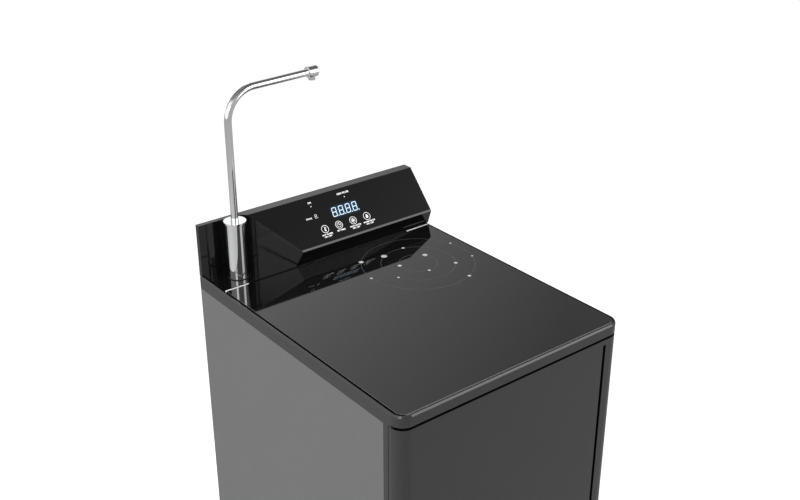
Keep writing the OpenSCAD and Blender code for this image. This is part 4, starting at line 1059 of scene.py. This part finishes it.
# Painted shade: the strip's black darkens the joint above the door as shade would.
top_shade_strip = block(
    "door_top_shade_strip", (door_low.x + SEAL_IN, door_low.y + SEAL_IN, door_high.z + SEAL_LIFT),
    (door_high.x - SEAL_IN, door_high.y - SEAL_IN, door_high.z + SEAL_T),
)
round_corners(top_shade_strip, DOOR_CORNER - SEAL_IN, front=DOOR_CORNER_FRONT)
cut_away(top_shade_strip, post("pin_room", SEAL_PIN_ROOM, *PIN_HEIGHTS, HINGE_AT))
settle(top_shade_strip, painted_shade_black, "door")


# Studio: pale floor, and a white surround that is dimmer overhead, to the right and to the left rear.
# Soft panels stand at both sides and above.
# The camera stands at the left front, above the worktop, as in the photograph.
def seen_rays(tree, mirrored):
    """1 where the studio is seen, bare or through glass; as given in a mirror; 0 for its light."""
    path = shader_node(tree, "LightPath").outputs
    mirror = reckon(tree, "MULTIPLY", path["Is Glossy Ray"], mirrored)
    some = reckon(tree, "MAXIMUM", path["Is Camera Ray"], mirror)
    return reckon(tree, "MAXIMUM", some, path["Is Transmission Ray"])


LIGHT_LEVEL = 0.30
# Direction, where the dimming starts and ends, the level at each, and how it goes between them.
DIMMINGS = (
    ((0.7843, -0.6205, 0), (-0.12, 0.15), (1.04, 0.42), "LINEAR"),
    ((0, 0, 1), (0.60, 0.76), (1.0, 0.25), "SMOOTHSTEP"),
    ((-0.196, 0.832, 0.519), (0.865, 0.895), (1.0, 0.15), "LINEAR"),
)
world = bpy.data.worlds.new("studio")
bpy.context.scene.world = world
world.use_nodes = True
sky = world.node_tree
surround = sky.nodes["Background"]
surround.inputs["Color"].default_value = (1, 1, 1, 1)
sky_place = shader_node(sky, "TexCoord").outputs["Generated"]
dimmed = 1.0
for direction, reach, levels, way in DIMMINGS:
    facing = shader_node(sky, "VectorMath", {0: sky_place, 1: direction}, operation="DOT_PRODUCT")
    share = ramp(sky, facing.outputs["Value"], reach, levels, interpolation_type=way)
    dimmed = reckon(sky, "MULTIPLY", dimmed, share)
level = shader_node(
    sky, "Mix", {0: seen_rays(sky, 1.0), 2: LIGHT_LEVEL, 3: dimmed}, data_type="FLOAT",
)
bare_ray = shader_node(sky, "LightPath").outputs["Is Camera Ray"]
wire(sky, surround, Strength=reckon(sky, "MAXIMUM", level.outputs[0], bare_ray))

FLOOR_SPAN = 40.0
FLOOR_GLOW, FLOOR_MIRRORED = 0.75, 0.42
FLOOR_PALE, FLOOR_IN_GLOSS = (0.8, 0.8, 0.8, 1), (0.2, 0.2, 0.2, 1)
bpy.ops.object.select_all(action="DESELECT")
bpy.ops.mesh.primitive_plane_add(size=FLOOR_SPAN)
floor = bpy.context.object
floor.name = "floor"
pale, pale_tree, pale_shader = blank_material(
    "pale_floor", Roughness=0.9, Emission_Color=(1, 1, 1, 1),
)
gloss_ray = shader_node(pale_tree, "LightPath").outputs["Is Glossy Ray"]
wire(
    pale_tree, pale_shader,
    Base_Color=mixed(pale_tree, gloss_ray, FLOOR_PALE, FLOOR_IN_GLOSS),
    Emission_Strength=reckon(
        pale_tree, "MULTIPLY", seen_rays(pale_tree, FLOOR_MIRRORED), FLOOR_GLOW,
    ),
)
floor.data.materials.append(pale)

# Name, place, aim, size, watts, and whether mirrors show it.
PANELS = (
    ("left_front_panel", (-2.0, -1.275, 2.01), (-0.13, 0.15, 0.9), (0.9, 0.4), 4.05, True),
    ("left_front_fill", (-1.75, -1.50, 2.20), (0, 0, 0.9), (1.6, 1.0), 16, False),
    ("right_front_panel", (1.36, -1.80, 1.50), (0, 0, 0.9), (1.15, 1.6), 19.6, True),
    ("side_panel_fill", (-2.4, 0.3, 1.5), (0, 0, 0.7), (1.6, 1.6), 38, False),
    ("top_fill", (0.3, -0.6, 3.0), (0, 0, 0.9), (1.6, 1.6), 8, False),
)
for name, place, aim, size, watts, mirrored in PANELS:
    bpy.ops.object.light_add(type="AREA", location=place)
    lamp = bpy.context.object
    lamp.name = name
    lamp.data.shape = "RECTANGLE"
    lamp.data.size, lamp.data.size_y = size
    lamp.data.energy = watts
    lamp.rotation_euler = (Vector(place) - Vector(aim)).to_track_quat("Z", "Y").to_euler()
    lamp.visible_glossy = mirrored

CAMERA_AT = (-0.76364, -0.96005, 1.55625)
CAMERA_DOWN, CAMERA_TURN = math.radians(25.7255), math.radians(-38.354)
CAMERA_LENS, CAMERA_WIDTH = 49.914, 36.0
bpy.ops.object.camera_add(location=CAMERA_AT, rotation=(math.pi / 2 - CAMERA_DOWN, 0, CAMERA_TURN))
camera = bpy.context.object
camera.data.lens = CAMERA_LENS
camera.data.sensor_width = CAMERA_WIDTH
bpy.context.scene.camera = camera
bpy.context.scene.view_settings.view_transform = "Standard"
